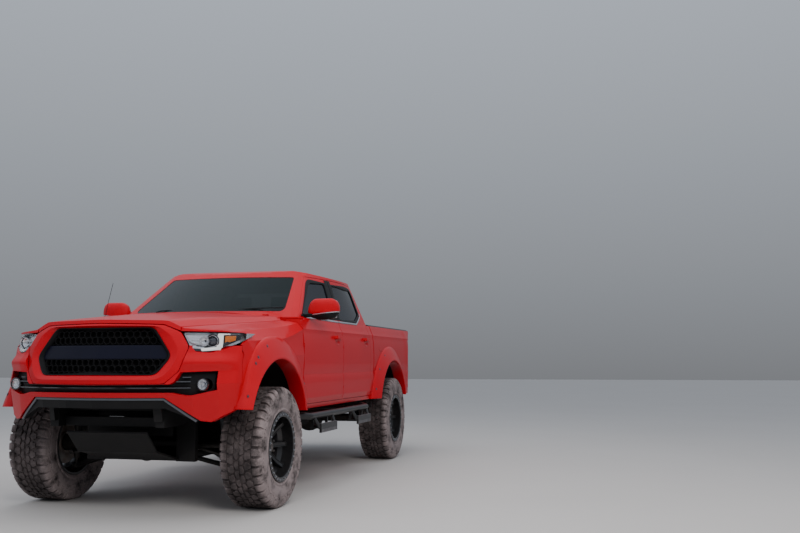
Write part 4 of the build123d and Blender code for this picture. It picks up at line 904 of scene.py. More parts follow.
def side_reach(z: float) -> float:
    """Half width of the curved side: full on both sides of a soft crease, drawn in to sill and belt."""
    if z < FULL_BELOW:
        draw = SILL_DRAW * ((FULL_BELOW - z) / (FULL_BELOW - SILL)) ** 2
    elif z < CREASE:
        draw = CREASE_DRAW * ((z - FULL_BELOW) / (CREASE - FULL_BELOW)) ** 2
    elif z < FULL_ABOVE:
        draw = CREASE_DRAW * ((FULL_ABOVE - z) / (FULL_ABOVE - CREASE)) ** 2
    else:
        draw = BELT_DRAW * ((z - FULL_ABOVE) / (BELT - FULL_ABOVE)) ** BELT_POWER
    return HALF_WIDTH - draw


def skin_share(x: float) -> float:
    """Share of a shift that a point takes: none inside the body, all of it near the outer skin."""
    return between(abs(x), HALF_WIDTH - 95, HALF_WIDTH - 60)


def nose_lean(z: float) -> float:
    """Way back of the nose at a height: it leans above its foremost line and is undercut below it."""
    return NOSE_LEAN * max(0.0, z - NOSE_HEIGHT) + NOSE_UNDERCUT * min(0.0, z - NOSE_HEIGHT)


class BodyForm:
    """Smooth outer form of the body, as a shift from the flat-faced form of the solids."""

    def __init__(self) -> None:
        """Prepare the softened lines."""
        self.tail_line = soft(TAIL_PLAN, [0, 170, 0])
        self.plan_line = soft(NOSE_PLAN, [0, 95, 95, 80, 70, 70, 90, 0])
        columns = list(zip(*CLIP))
        self.rows = [soft(list(zip(columns[0], values)), 240.0) for values in columns[1:]]

    def side(self, x: float, y: float, z: float) -> Point:
        """Shift of a point on the flat sides between sill and belt."""
        near_axis = math.hypot(abs(x) - REAR_HINGE[0], y - REAR_HINGE[1]) < BARREL_RADIUS
        if near_axis and min(abs(z - height) for height in BARREL_HEIGHTS) < BARREL_HALF:
            return (0.0, 0.0, 0.0)
        z = max(SIDE[0][1], min(SIDE[-1][1], z))
        return (math.copysign(side_reach(z) - level(SIDE, z), x) * skin_share(x), 0.0, 0.0)

    def bed(self, x: float, y: float, z: float) -> Point:
        """Shift of a point on the bed's sides, which draw in towards the tail."""
        across, _, up = self.side(x, y, z)
        drawn, _ = self.tail_line.shift(abs(x), y)
        return (across + math.copysign(drawn, x) * skin_share(x), 0.0, up)

    def section(self, y: float, rounded: bool) -> list[float]:
        """Numbers of the front clip's section at one station, straight or rounded between its rows."""
        stations = [row[0] for row in CLIP]
        y = max(stations[0], min(stations[-1], y))
        place = max(i for i in range(len(stations) - 1) if stations[i] <= y)
        share = (y - stations[place]) / (stations[place + 1] - stations[place])
        values = []
        for column, line in enumerate(self.rows, 1):
            value = CLIP[place][column] * (1 - share) + CLIP[place + 1][column] * share
            if rounded:
                value += line.shift(y, value)[1]
            values.append(value)
        return values

    def clip(self, x: float, y: float, z: float) -> Point:
        """Shift of a point on the hood or the fenders."""
        flat, curved = self.section(y, False), self.section(y, True)
        centre, rx, rz, sx, sz, hx, hz, wx, wz = flat
        half = [(-rx, rz), (0.0, centre), (rx, rz), (sx, sz), (hx, hz), (wx, wz), *FENDER_SIDE]
        across, up = soft(half, [0, 200, 60, 40, 45, 60, 80, 20, 60, 0]).shift(abs(x), z)
        if z > FENDER_SIDE[0][1]:
            lifts = [(curved[0] - flat[0], 0.0)]
            lifts += [(curved[k] - flat[k], flat[k - 1]) for k in (2, 4, 6, 8)] + [(0.0, HALF_WIDTH)]
            up += level(lifts, abs(x))
        return (math.copysign(across, x), 0.0, up)

    def nose(self, x: float, y: float, z: float) -> Point:
        """Shift of a point on the nose's plan."""
        across, back = self.plan_line.shift(abs(x), y - nose_lean(z))
        return (math.copysign(across, x), back, 0.0)

    def bumper(self, x: float, y: float, z: float) -> Point:
        """Shift of a point on the bumper: the nose's plan, and a ledge under each lamp."""
        across, back, up = self.nose(x, y, z)
        if z < LEDGE_CREST:
            rise = between(z, LEDGE_FOOT, LEDGE_CREST)
        else:
            rise = 1.0 - between(z, LEDGE_CREST, LEDGE_TOP)
        push = LEDGE_DEPTH * rise * between(abs(x), 540, 600) * between(-y, 535, 590)
        return (across + math.copysign(0.45 * push, x), back - 0.9 * push, up)

    def front(self, x: float, y: float, z: float) -> Point:
        """Shift of a point ahead of the cab: the nose's plan in front, the clip behind it."""
        nose_x, nose_y, _ = self.nose(x, y, z)
        clip_x, _, clip_z = self.clip(x, y, z)
        lean = NOSE_LEAN * max(0.0, z - NOSE_HEIGHT)
        ahead = 1.0 - between(y - lean - self.plan_at(abs(x)), *NOSE_BLEND)
        return (nose_x * ahead + clip_x * (1 - ahead), nose_y * ahead, clip_z * (1 - 0.5 * ahead))

    @staticmethod
    def plan_at(x: float) -> float:
        """Station of the nose's plan at one distance from the centre."""
        for (x0, y0), (x1, y1) in zip(NOSE_PLAN, NOSE_PLAN[1:]):
            if x <= x1 and x1 > x0:
                return y0 + (y1 - y0) * (x - x0) / (x1 - x0)
        return NOSE_PLAN[-2][1]


@dataclass
class Shell:
    """A painted panel made from its solid: doubles merged, edges rounded, cut into strips and curved."""

    node: str
    body: str
    form: Callable[[float, float, float], Point]
    strips: dict[str, float]
    edge: float = 3.0
    lines: tuple[float, ...] = ()
    dishes: tuple[Flat, ...] = ()

    def build(self, frame: dict, palette: Palette) -> Piece:
        """Make the panel.

        Args:
            palette: Finishes.

        Returns:
            The panel, which replaces its node.
        """
        piece = self.copy(frame)
        soften_edges(piece, self.edge, 2, 30)
        self.cut(piece)
        for vertex in piece.data.vertices:
            x, y, z = vertex.co.x * 1000, vertex.co.y * 1000 + MIDDLE, vertex.co.z * 1000
            vertex.co += Vector(self.form(x, y, z)) / 1000
        for y, z in self.dishes:
            self.dish(piece, y, z)
        smooth(piece, 38)
        modify(piece, "WEIGHTED_NORMAL", mode="FACE_AREA", weight=50, keep_sharp=True)
        return finished(piece, self.body, palette.paint, Slot.PAINT, [self.node])

    def dish(self, piece: Piece, y: float, z: float) -> None:
        """Hollow under a door handle."""
        side = 1 if self.node.endswith("left") else -1
        clear()
        bpy.ops.mesh.primitive_uv_sphere_add(
            segments=40, ring_count=20, radius=1, scale=(0.028, 0.070, 0.029),
            location=at(side * (side_reach(z) + 15), y, z))
        cutter = bpy.context.object
        modify(piece, "BOOLEAN", operation="DIFFERENCE", object=cutter, solver="EXACT")
        bpy.data.objects.remove(cutter)

    def copy(self, frame: dict) -> Piece:
        """Copy of the node's mesh with its doubles merged and its flat faces joined."""
        source = frame["nodes"][self.node]
        pick(source)
        bpy.ops.object.duplicate()
        piece = bpy.context.object
        piece.parent = None
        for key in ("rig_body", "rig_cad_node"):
            if key in piece:
                del piece[key]
        edit(piece)
        bpy.ops.mesh.remove_doubles(threshold=0.00002)
        bpy.ops.mesh.dissolve_limited(angle_limit=math.radians(0.4))
        done(piece)
        return settle(piece, self.node + "_panel")

    def cut(self, piece: Piece) -> None:
        """Cut the panel into strips across each axis named in strips."""
        edit(piece)
        for axis, step in self.strips.items():
            index = "xyz".index(axis)
            values = [vertex.co[index] for vertex in piece.data.vertices]
            low, high = min(values), max(values)
            count = int((high - low) * 1000 / step)
            normal = [0.0, 0.0, 0.0]
            normal[index] = 1.0
            for k in range(1, count + 1):
                point = [0.0, 0.0, 0.0]
                point[index] = low + (high - low) * k / (count + 1) + 0.00013
                bpy.ops.mesh.select_all(action="SELECT")
                bpy.ops.mesh.bisect(plane_co=point, plane_no=normal)
        for height in self.lines:
            bpy.ops.mesh.select_all(action="SELECT")
            bpy.ops.mesh.bisect(plane_co=(0, 0, height / 1000), plane_no=(0, 0, 1))
        done(piece)


# Front end, with outlines as distance from the centre plane and height

GRILLE_CENTRE = (0.0, 1085.0)
GRILLE_HALF = [(0, 1257), (372, 1257), (506, 1068), (424, 944), (0, 944)]
SURROUND_HALF = [(0, 1284), (432, 1274), (545, 1226), (604, 1130), (562, 968), (486, 888), (0, 886)]


def whole(half: Sequence[Flat]) -> list[Flat]:
    """Closed outline from its left half."""
    return list(half) + [(-x, z) for x, z in reversed(half) if x > 0]


def rounded(outline: Sequence[Flat], reach: float, steps: int = 5) -> list[Flat]:
    """Closed outline with its corners rounded.

    Args:
        outline: Corners in order.
        reach: Distance from a corner at which its curve starts.
        steps: Points of each curve.

    Returns:
        The denser outline.
    """
    points = []
    count = len(outline)
    for i, (x, z) in enumerate(outline):
        ends = []
        for other in (outline[i - 1], outline[(i + 1) % count]):
            size = math.hypot(other[0] - x, other[1] - z)
            share = min(reach, size * 0.48) / size
            ends.append((x + (other[0] - x) * share, z + (other[1] - z) * share))
        for k in range(steps + 1):
            t = k / steps
            a, b, c = (1 - t) ** 2, 2 * t * (1 - t), t ** 2
            points.append((a * ends[0][0] + b * x + c * ends[1][0], a * ends[0][1] + b * z + c * ends[1][1]))
    return points


def reach_of(outline: Sequence[Flat], angle: float, centre: Flat) -> float:
    """Distance from a centre to an outline in one direction."""
    ca, sa = math.cos(angle), math.sin(angle)
    best = 0.0
    for (x0, z0), (x1, z1) in zip(outline, list(outline[1:]) + [outline[0]]):
        ax, az = x0 - centre[0], z0 - centre[1]
        dx, dz = x1 - x0, z1 - z0
        under = ca * dz - sa * dx
        if abs(under) < 1e-9:
            continue
        along = (ax * dz - az * dx) / under
        share = (ax * sa - az * ca) / under
        if along > 0 and -1e-6 <= share <= 1 + 1e-6:
            best = max(best, along)
    return best


def rays_of(outline: Sequence[Flat], centre: Flat, count: int) -> list[Point]:
    """Cosine, sine and distance to an outline of evenly turned rays from a centre."""
    turns = [2 * math.pi * k / count for k in range(count)]
    return [(math.cos(turn), math.sin(turn), reach_of(outline, turn, centre)) for turn in turns]


PLAN_STEPS = 12


class NoseSkin:
    """Smooth skin of the nose, addressed by distance from the centre plane and height."""

    def __init__(self, form: BodyForm) -> None:
        """Sample the form's softened plan."""
        self.plan: list[Flat] = []
        for (x0, y0), (x1, y1) in zip(NOSE_PLAN, NOSE_PLAN[1:]):
            for k in range(PLAN_STEPS):
                x, y = x0 + (x1 - x0) * k / PLAN_STEPS, y0 + (y1 - y0) * k / PLAN_STEPS
                across, back = form.plan_line.shift(x, y)
                self.plan.append((x + across, y + back))

    def across(self, x: float, z: float, out: float = 0.0) -> Vector:
        """Point over a place seen from the front, moved outwards by a distance."""
        side = abs(x)
        for (x0, y0), (x1, y1) in zip(self.plan, self.plan[1:]):
            if side <= x1 and x1 > x0:
                break
        return self.offset(x0 + (x1 - x0) * (side - x0) / (x1 - x0), y0 + (y1 - y0) * (side - x0) / (x1 - x0),
                           (x1 - x0, y1 - y0), z, out, -1 if x < 0 else 1)

    def along(self, run: float, z: float, out: float = 0.0) -> Vector:
        """Point at a distance along the left half of the plan from its middle, moved outwards."""
        for (x0, y0), (x1, y1) in zip(self.plan, self.plan[1:]):
            size = math.hypot(x1 - x0, y1 - y0)
            if run <= size:
                break
            run -= size
        share = run / size
        return self.offset(x0 + (x1 - x0) * share, y0 + (y1 - y0) * share, (x1 - x0, y1 - y0), z, out, 1)

    def offset(self, x: float, y: float, way: Flat, z: float, out: float, side: int) -> Vector:
        """Point of the plan, leaned and moved outwards."""
        size = math.hypot(*way)
        return at(side * (x + out * way[1] / size), y + nose_lean(z) - out * way[0] / size, z)

    def run_to(self, x: float) -> float:
        """Distance along the plan from its middle to a distance from the centre plane."""
        total = 0.0
        for (x0, y0), (x1, y1) in zip(self.plan, self.plan[1:]):
            if x <= x1 and x1 > x0:
                return total + math.hypot(x1 - x0, y1 - y0) * (x - x0) / (x1 - x0)
            total += math.hypot(x1 - x0, y1 - y0)
        return total


@dataclass
class Grille:
    """Faceted red frame, black lip, honeycomb mesh with a bare band, and a black sheet behind them as painted
    shade.
    """

    skin: NoseSkin
    rays: int = 200
    pitch: float = 46.0
    bar: float = 6.0
    band: tuple[float, float] = (1049.0, 1140.0)

    def hoop(self, name: str, profile: Sequence[Point]) -> Piece:
        """Closed ring round the grille.

        Args:
            name: Name of the piece.
            profile: Rows of share from outer to inner outline, distance inwards and way out.

        Returns:
            The ring.
        """
        outer = rays_of(rounded(whole(SURROUND_HALF), 14), GRILLE_CENTRE, self.rays)
        inner = rays_of(rounded(whole(GRILLE_HALF), 40), GRILLE_CENTRE, self.rays)
        rows = list(profile) + [profile[0]]

        def place(u: float, v: float) -> Vector:
            """Point of one row in one direction."""
            share, extra, out = rows[round(u * (len(rows) - 1))]
            k = round(v * self.rays) % self.rays
            cosine, sine, far = outer[k]
            radius = far * (1 - share) + inner[k][2] * share - extra
            x, z = GRILLE_CENTRE
            return self.skin.across(x + radius * cosine, z + radius * sine, out)

        return outward(spread(name, len(rows) - 1, self.rays, place))

    def frame(self) -> Piece:
        """Red frame with a crest between its two flanks."""
        profile = [(0.0, 3, -26), (0.0, 3, -4), (0.015, 1, -1), (0.05, 0, 0), (0.46, 0, 5.5),
                   (0.50, 0, 6.4), (0.54, 0, 5.5), (0.93, 0, -14), (0.985, 0, -16), (1.0, 0, -20),
                   (1.0, 0, -56), (0.9, 0, -60), (0.2, 0, -60)]
        return smooth(self.hoop("grille_frame", profile), 24)

    def lip(self) -> Piece:
        """Black lip inside the frame."""
        profile = [(1.0, 0.3, -15), (1.0, 4, -11), (1.0, 9, -12), (1.0, 20, -30), (1.0, 24, -42),
                   (1.0, 24, -50), (1.0, 0.3, -50)]
        return smooth(self.hoop("grille_lip", profile), 35)

    def half_width(self, z: float) -> float:
        """Distance from the centre plane to the opening's edge at a height."""
        _, (top, high), (wide, middle), (foot, low), _ = GRILLE_HALF
        if z > middle:
            return top + (high - z) * (wide - top) / (high - middle)
        return wide - (middle - z) * (wide - foot) / (middle - low)

    def mesh(self) -> Piece:
        """Honeycomb cells above and below the band."""
        cells = []
        radius = self.pitch / math.sqrt(3)
        step = radius * 1.5
        foot, top = GRILLE_HALF[-1][1], GRILLE_HALF[0][1]
        for low, high in ((foot, self.band[0]), (self.band[1], top)):
            for row in range(math.ceil((high - low) / step) + 1):
                z = low + 2 + row * step if low == foot else high - 6 - row * step
                if not low - 8 < z < high + 8:
                    continue
                for column in range(-11, 12):
                    x = (column + (row % 2) / 2) * self.pitch
                    if abs(x) < self.half_width(z) + 4:
                        cells.append((x, z))
        ring = lathed("cell", [(0, radius + 1), (0, radius - self.bar / 2), (11, radius - self.bar / 2),
                               (11, radius + 1)], Vector((0, 0, 0)), Vector((0, 1, 0)), 6)
        turned(ring, 30, "Y", Vector((0, 0, 0)))
        pieces = [copy_of(ring, self.skin.across(x, z, -42)) for x, z in cells]
        clear()
        bpy.data.objects.remove(ring)
        return joined("grille_honeycomb", pieces)

    def panel(self, name: str, low: float, high: float, out: float, thick: float, narrow: float) -> Piece:
        """Curved panel across the opening between two heights."""

        def place(u: float, v: float) -> Vector:
            """Point across and up the panel."""
            z = low + (high - low) * v
            return self.skin.across((2 * u - 1) * (self.half_width(z) - narrow), z, out)

        return outward(thicken(spread(name, 48, 8, place), thick))

    def place_all(self, palette: Palette) -> None:
        """Build all parts of the grille."""
        finished(self.frame(), "body", palette.paint, Slot.PAINT, ["grille_surround"])
        finished(self.lip(), "body", palette.plastic, Slot.PLASTIC)
        finished(self.mesh(), "body", palette.plastic, Slot.PLASTIC, ["grille_mesh"])
        band = self.panel("grille_band", *self.band, -36, 8, 2)
        finished(smooth(soften_edges(band, 2.0), 30), "body", palette.band, Slot.PLASTIC)
        # Painted shade: an unlit black sheet behind the opening stands for the dark shade inside the grille.
        finished(self.panel("grille_shade_sheet", 948, 1252, -78, 4, 4), "body", palette.shadow, Slot.PLASTIC)


# Headlamp's lower edge as distance from the centre plane and height, its top, and the height of its middle
LENS_LOW = [(556, 1222), (608, 1136), (641, 1101), (740, 1093), (822, 1107), (868, 1136)]
LENS_TOP = 1222.0
LENS_LEVEL = 1150.0

# The lower edge beside the fender, as station and height of its two ends
LENS_SIDE = ((-690, 1075), (-372, 1200))
LENS_GAP = 3


@dataclass
class Headlamp:
    """Left headlamp: lens, silvered housing, projector, light guide, amber marker and lower shade."""

    skin: NoseSkin

    def __post_init__(self) -> None:
        """Keep the distance along the plan to the lamp's inner end."""
        self.start = self.skin.run_to(LENS_LOW[0][0])

    def low(self, run: float) -> float:
        """Height of the lamp's lower edge at a distance along the plan."""
        spot = self.skin.along(run, LENS_LEVEL) * 1000
        height = LENS_LOW[-1][1]
        for (x0, z0), (x1, z1) in zip(LENS_LOW, LENS_LOW[1:]):
            if spot.x <= x1:
                height = z0 + (z1 - z0) * max(0.0, spot.x - x0) / (x1 - x0)
                break
        (y0, z0), (y1, z1) = LENS_SIDE
        side = z0 + (spot.y + MIDDLE - y0) * (z1 - z0) / (y1 - y0) + LENS_GAP
        return min(LENS_TOP, max(height, side)) if run > self.start else LENS_TOP

    def cover(self, name: str, out: float, thick: float, inset: float) -> Piece:
        """Sheet over the whole lamp, at a way out from the skin, drawn in from its outline."""
        start, end = self.start + inset, self.end() - inset

        def place(u: float, v: float) -> Vector:
            """Point along and up the lamp."""
            run = start + (end - start) * u
            low, high = self.low(run) + inset, LENS_TOP - inset
            bulge = 4 * math.sin(math.pi * v) * math.sin(math.pi * min(1, u * 1.1)) if thick < 5 else 0.0
            return self.skin.along(run, low + (max(low, high) - low) * v, out + bulge)

        return outward(thicken(spread(name, 40, 8, place), thick))

    def end(self) -> float:
        """Distance along the plan to the lamp's tail."""
        run = self.skin.run_to(LENS_LOW[-1][0])
        while self.low(run) < LENS_TOP - 8 and run < 2000:
            run += 4
        return run

    def patch(self, name: str, corners: Sequence[Flat], out: float, thick: float, cells: int = 10,
              round_by: float = 2.0) -> Piece:
        """Raised patch between four corners given as run from the lamp's inner end and height."""

        def place(u: float, v: float) -> Vector:
            """Point between the corners."""
            run, z = amid(corners, u, v)
            return self.skin.along(self.start + run, z, out)

        sheet = thicken(spread(name, cells, 4, place), thick)
        return smooth(soften_edges(outward(sheet), round_by, 2), 35)

    def way(self, run: float) -> Vector:
        """Level direction out of the skin."""
        run += self.start
        return (self.skin.along(run, LENS_LEVEL, 10) - self.skin.along(run, LENS_LEVEL)).normalized()

    def cup(self, name: str, run: float, z: float, out: float, section: Sequence[Flat]) -> Piece:
        """Turned cup that looks out of the lamp."""
        way = (self.way(run) + AHEAD).normalized()
        return smooth(lathed(name, section, self.skin.along(self.start + run, z, out), way, 40, False), 40)

    def place_all(self, palette: Palette) -> None:
        """Build both headlamps."""
        housing = self.cover("housing", -46, 20, 3)
        rim = self.cover("rim", -8, 34, 0.8)
        edit(rim)
        if choose_faces(rim, lambda centre, normal: abs(normal.z) < 0.75 and normal.y < -0.25):
            bpy.ops.mesh.delete(type="FACE")
        done(rim)
        silver = [
            housing,
            self.patch("shelf", [(70, 1118), (150, 1112), (150, 1128), (70, 1134)], -14, 22),
            self.patch("wall", [(44, 1160), (120, 1134), (128, 1200), (20, 1206)], -26, 10),
            self.patch("fin_a", [(58, 1172), (118, 1168), (118, 1174), (58, 1178)], -18, 8, 6, 1),
            self.patch("fin_b", [(62, 1152), (120, 1148), (120, 1154), (62, 1158)], -18, 8, 6, 1),
            self.cup("bowl", 150, 1166, -34, [(4, 8), (6, 16), (14, 26), (26, 31), (28, 33), (10, 34)]),
            self.cup("barrel", 205, 1166, -34, [(20, 33), (25, 34), (27, 36), (25, 38), (20, 39)]),
        ]
        groups = (
            ("headlamp_silver", silver, palette.reflector, Slot.LAMP_CLEAR),
            ("headlamp_rim", [rim], palette.reflector, Slot.LAMP_CLEAR),
            ("headlamp_projector", [
                self.cup("ball", 205, 1166, -30, [(26, 0), (24, 12), (18, 22), (8, 29), (2, 30)])],
             palette.dark_glass, Slot.LAMP_CLEAR),
            ("headlamp_guide", [
                self.patch("guide_side", [(230, 1114), (274, 1124), (270, 1214), (228, 1216)], -9, 22, 8, 4),
                self.patch("guide_low", [(128, 1099), (266, 1108), (262, 1132), (128, 1119)], -10, 20, 16, 4),
                self.patch("guide_top", [(232, 1207), (318, 1209), (314, 1217), (232, 1218)],
                           -10, 16, 12, 3)],
             palette.light_bar, Slot.LAMP_CLEAR),
            ("headlamp_marker", [
                self.patch("marker", [(286, 1152), (366, 1172), (366, 1204), (282, 1202)], -12, 14, 10, 3)],
             palette.amber, Slot.LAMP_CLEAR),
            ("headlamp_shade", [
                self.cup("tunnel", 205, 1166, -36, [(2, 30), (18, 31), (22, 33), (22, 46), (0, 47)]),
                self.patch("dark_end", [(272, 1126), (420, 1180), (420, 1214), (268, 1210)], -24, 12, 14, 2),
                self.patch("dark_low", [(96, 1120), (236, 1120), (232, 1134), (96, 1140)], -26, 10, 10, 2),
                self.patch("shade", [(270, 1124), (330, 1158), (300, 1164), (272, 1152)], -10, 24, 8, 2),
                self.patch("notch", [(74, 1103), (138, 1097), (128, 1113), (64, 1119)], -5, 30, 8, 3)],
             palette.gloss, Slot.PLASTIC),
        )
        for name, pieces, material, slot in groups:
            put(name, pieces, material, slot, both=True)
        lens = both_sides(smooth(self.cover("lens", -3, 3, 1.0), 35), "headlamp_lens")
        finished(lens, "body", palette.clear, Slot.LAMP_CLEAR, ["front_lamps"])


@dataclass
class FogLamp:
    """Left fog lamp with its bezel ring, and the satin lines along the bumper."""

    skin: NoseSkin
    x: float = 701.0
    z: float = 884.0

    def place_all(self, palette: Palette) -> None:
        """Build both fog lamps and the lines."""
        centre = at(self.x, -706, self.z)
        section = [(-20, 0), (-18, 10), (-8, 24), (6, 32), (9, 34), (-22, 34)]
        bowl = smooth(lathed("bowl", section, centre, AHEAD, 40, False), 40)
        bulb = lathed("bulb", [(4, 0), (3, 6), (-2, 9), (-16, 9)], centre, AHEAD, 20, False)
        put("fog_reflector", [bowl, bulb], palette.reflector, Slot.LAMP_CLEAR, both=True)
        section = [(8, 33), (14, 34), (15, 37), (12, 41), (-6, 43), (-6, 36)]
        ring = lathed("fog_ring", section, centre, AHEAD, 48)
        put("fog_ring", [ring], palette.gloss, Slot.PLASTIC, 40, True)
        lens = lathed("fog_lens", [(16, 0), (15, 14), (12, 26), (8, 33), (6, 33)], centre, AHEAD, 40, False)
        put("fog_lens", [lens], palette.clear, Slot.LAMP_CLEAR, 50, True)
        fins = []
        for low, start, end in ((900, 556, 640), (860, 0, 640), (928, 590, 640)):
            a, b = self.skin.run_to(start), self.skin.run_to(end)

            def place(u: float, v: float) -> Vector:
                """Point along and round the fin."""
                dz, out = ((0, -26), (0, -9), (5, -7), (7, -26))[round(v * 3)]
                return self.skin.along(a + (b - a) * u, low + dz, out)

            fins.append(outward(spread("fin", 40 if start == 0 else 8, 3, place)))
        put("bumper_fins", fins, palette.satin, Slot.PLASTIC, 30, True)


# Flares, glazing and mirrors

@dataclass
class Flare:
    """Left wheel flare with a soft crest, a rolled edge and pocket bolts."""

    name: str
    centre: Flat
    roots: Sequence[float]
    rear: float
    front_low: float
    bolt_angles: Sequence[float]
    low: float = 655.0
    edge: float = 545.0

    def root(self, angle: float) -> float:
        """Radius of the root over an angle in degrees from straight ahead."""
        place = max(0.0, min(len(self.roots) - 1.001, (angle + 20) / 10))
        k = int(place)
        return self.roots[k] + (self.roots[k + 1] - self.roots[k]) * (place - k)

    def point(self, angle: float, share: float, radius: float, x: float) -> Vector:
        """Point at an angle, between the edge's radius and the root's."""
        size = self.edge + (self.root(angle) - self.edge) * share + radius
        turn = math.radians(angle)
        return at(x, self.centre[0] - size * math.cos(turn), self.centre[1] + size * math.sin(turn))

    def build(self) -> Piece:
        """Closed skin of the flare, trimmed to its ends."""
        rows = [(1.0, 2, 850), (1.0, 2, 902), (0.995, 0, 907), (0.96, 0, 913), (0.86, 0, 921), (0.7, 0, 931),
                (0.5, 0, 942.5), (0.3, 0, 953), (0.12, 0, 961), (0.05, 0, 965), (0.01, 0, 966.5),
                (0.0, -4, 965), (0.0, -7, 961), (0.0, -8, 954), (0.0, -8, 850)]
        table = rows + [rows[0]]

        def place(u: float, v: float) -> Vector:
            """Point of one row at one angle."""
            share, radius, x = table[round(u * (len(table) - 1))]
            return self.point(-18 + 216 * v, share, radius, x)

        piece = outward(spread(self.name, len(table) - 1, 108, place))
        cuts = [((0, 0, self.low), (0, 0, -1)), ((0, self.rear, 0), (0, 1, 0))]
        if self.front_low > self.low:
            cuts.append(((0, self.centre[0] - 430, self.front_low), (0, -0.10, -1)))
        edit(piece)
        for spot, way in cuts:
            cut_off(at(*spot), way, True)
        done(piece)
        outward(piece)
        return smooth(soften_edges(piece, 1.5, 2, 60), 35)

    def bolts(self) -> Piece:
        """Pocket bolts along the root, with their washers."""
        pieces = []
        for angle in self.bolt_angles:
            spot = self.point(angle, 0.72, 0, 929)
            way = Vector((1.0, -0.35 * math.cos(math.radians(angle)), 0.35 * math.sin(math.radians(angle))))
            cup = [(-1, 12), (1.6, 12), (1.8, 9), (0.6, 7.5), (-1, 7.5)]
            head = [(-1, 6), (3.6, 5.8), (4.6, 4.4), (4.6, 2.6), (3.0, 2.2), (3.0, 0)]
            pieces += [lathed("cup", cup, spot, way, 20, False), lathed("head", head, spot, way, 6, False)]
        return smooth(joined(self.name + "_bolts", pieces), 30)


# Radii of the flares' roots, every 10 degrees from 20 degrees below straight ahead
ROOT_FRONT = [600.0, 597.0, 594.0, 591.0, 588.0, 592.0, 615.0, 660.0, 696.0] + [700.0] * 14
ROOT_REAR = [688.0] * 23


def place_flares(palette: Palette) -> None:
    """Both pairs of flares and their bolts."""
    front = Flare("flare_front", (0.0, 511.0), ROOT_FRONT, 616, 705, (30, 53, 58, 73, 148))
    rear = Flare("flare_rear", (WHEELBASE, 497.0), ROOT_REAR, 4000, 655, (23, 44, 66, 136, 157))
    skins = joined("flares", [front.build(), rear.build()])
    finished(both_sides(skins, "flares"), "body", palette.paint, Slot.PAINT, ["fender_flares"])
    put("flare_bolts", [front.bolts(), rear.bolts()], palette.satin, Slot.STEEL, both=True)


class CabinSide:
    """Outer side surface of the greenhouse, between its outlines at the belt and above the roof."""

    LOW = ((806.0, 745.0), (848.0, 1640.0), (836.0, 2580.0))
    HIGH = ((620.0, 1440.0), (690.0, 1700.0), (655.0, 2415.0))
    RISE = 495.0

    def __init__(self) -> None:
        """Sample both arcs evenly."""
        self.low = self.sample(self.LOW)
        self.high = self.sample(self.HIGH)

    @staticmethod
    def sample(points: Sequence[Flat], steps: int = 80) -> list[Flat]:
        """Points of the arc through three points."""
        (ax, ay), (bx, by), (cx, cy) = points
        double = 2 * (ax * (by - cy) + bx * (cy - ay) + cx * (ay - by))
        a, b, c = ax * ax + ay * ay, bx * bx + by * by, cx * cx + cy * cy
        ux = (a * (by - cy) + b * (cy - ay) + c * (ay - by)) / double
        uy = (a * (cx - bx) + b * (ax - cx) + c * (bx - ax)) / double
        radius = math.hypot(ax - ux, ay - uy)
        start, end = math.atan2(ay - uy, ax - ux), math.atan2(cy - uy, cx - ux)
        return [(ux + radius * math.cos(start + (end - start) * k / steps),
                 uy + radius * math.sin(start + (end - start) * k / steps)) for k in range(steps + 1)]

    def x(self, y: float, z: float) -> float:
        """Distance from the centre plane of the surface at a station and height."""
        share = (z - BELT) / self.RISE
        before = None
        for (x0, y0), (x1, y1) in zip(self.low, self.high):
            here = (x0 + (x1 - x0) * share, y0 + (y1 - y0) * share)
            if before and before[1] <= y <= here[1]:
                return before[0] + (here[0] - before[0]) * (y - before[1]) / (here[1] - before[1])
            if before is None and y <= here[1]:
                return here[0] - (here[1] - y) * 0.09
            before = here
        return before[0]

    def at(self, y: float, z: float, out: float = 0.0) -> Vector:
        """Point on the surface, moved outwards."""
        if z < BELT:
            return at(side_reach(z) + out, y, z)
        return at(self.x(y, z) + 0.95 * out, y, z + 0.31 * out)


# Side windows as station and height
FRONT_WINDOW = [(836, 1412), (1536, 1404), (1568, 1730), (1290, 1730), (1230, 1698)]
REAR_WINDOW = [(1690, 1404), (2190, 1404), (2400, 1486), (2362, 1690), (2318, 1728), (1702, 1728)]


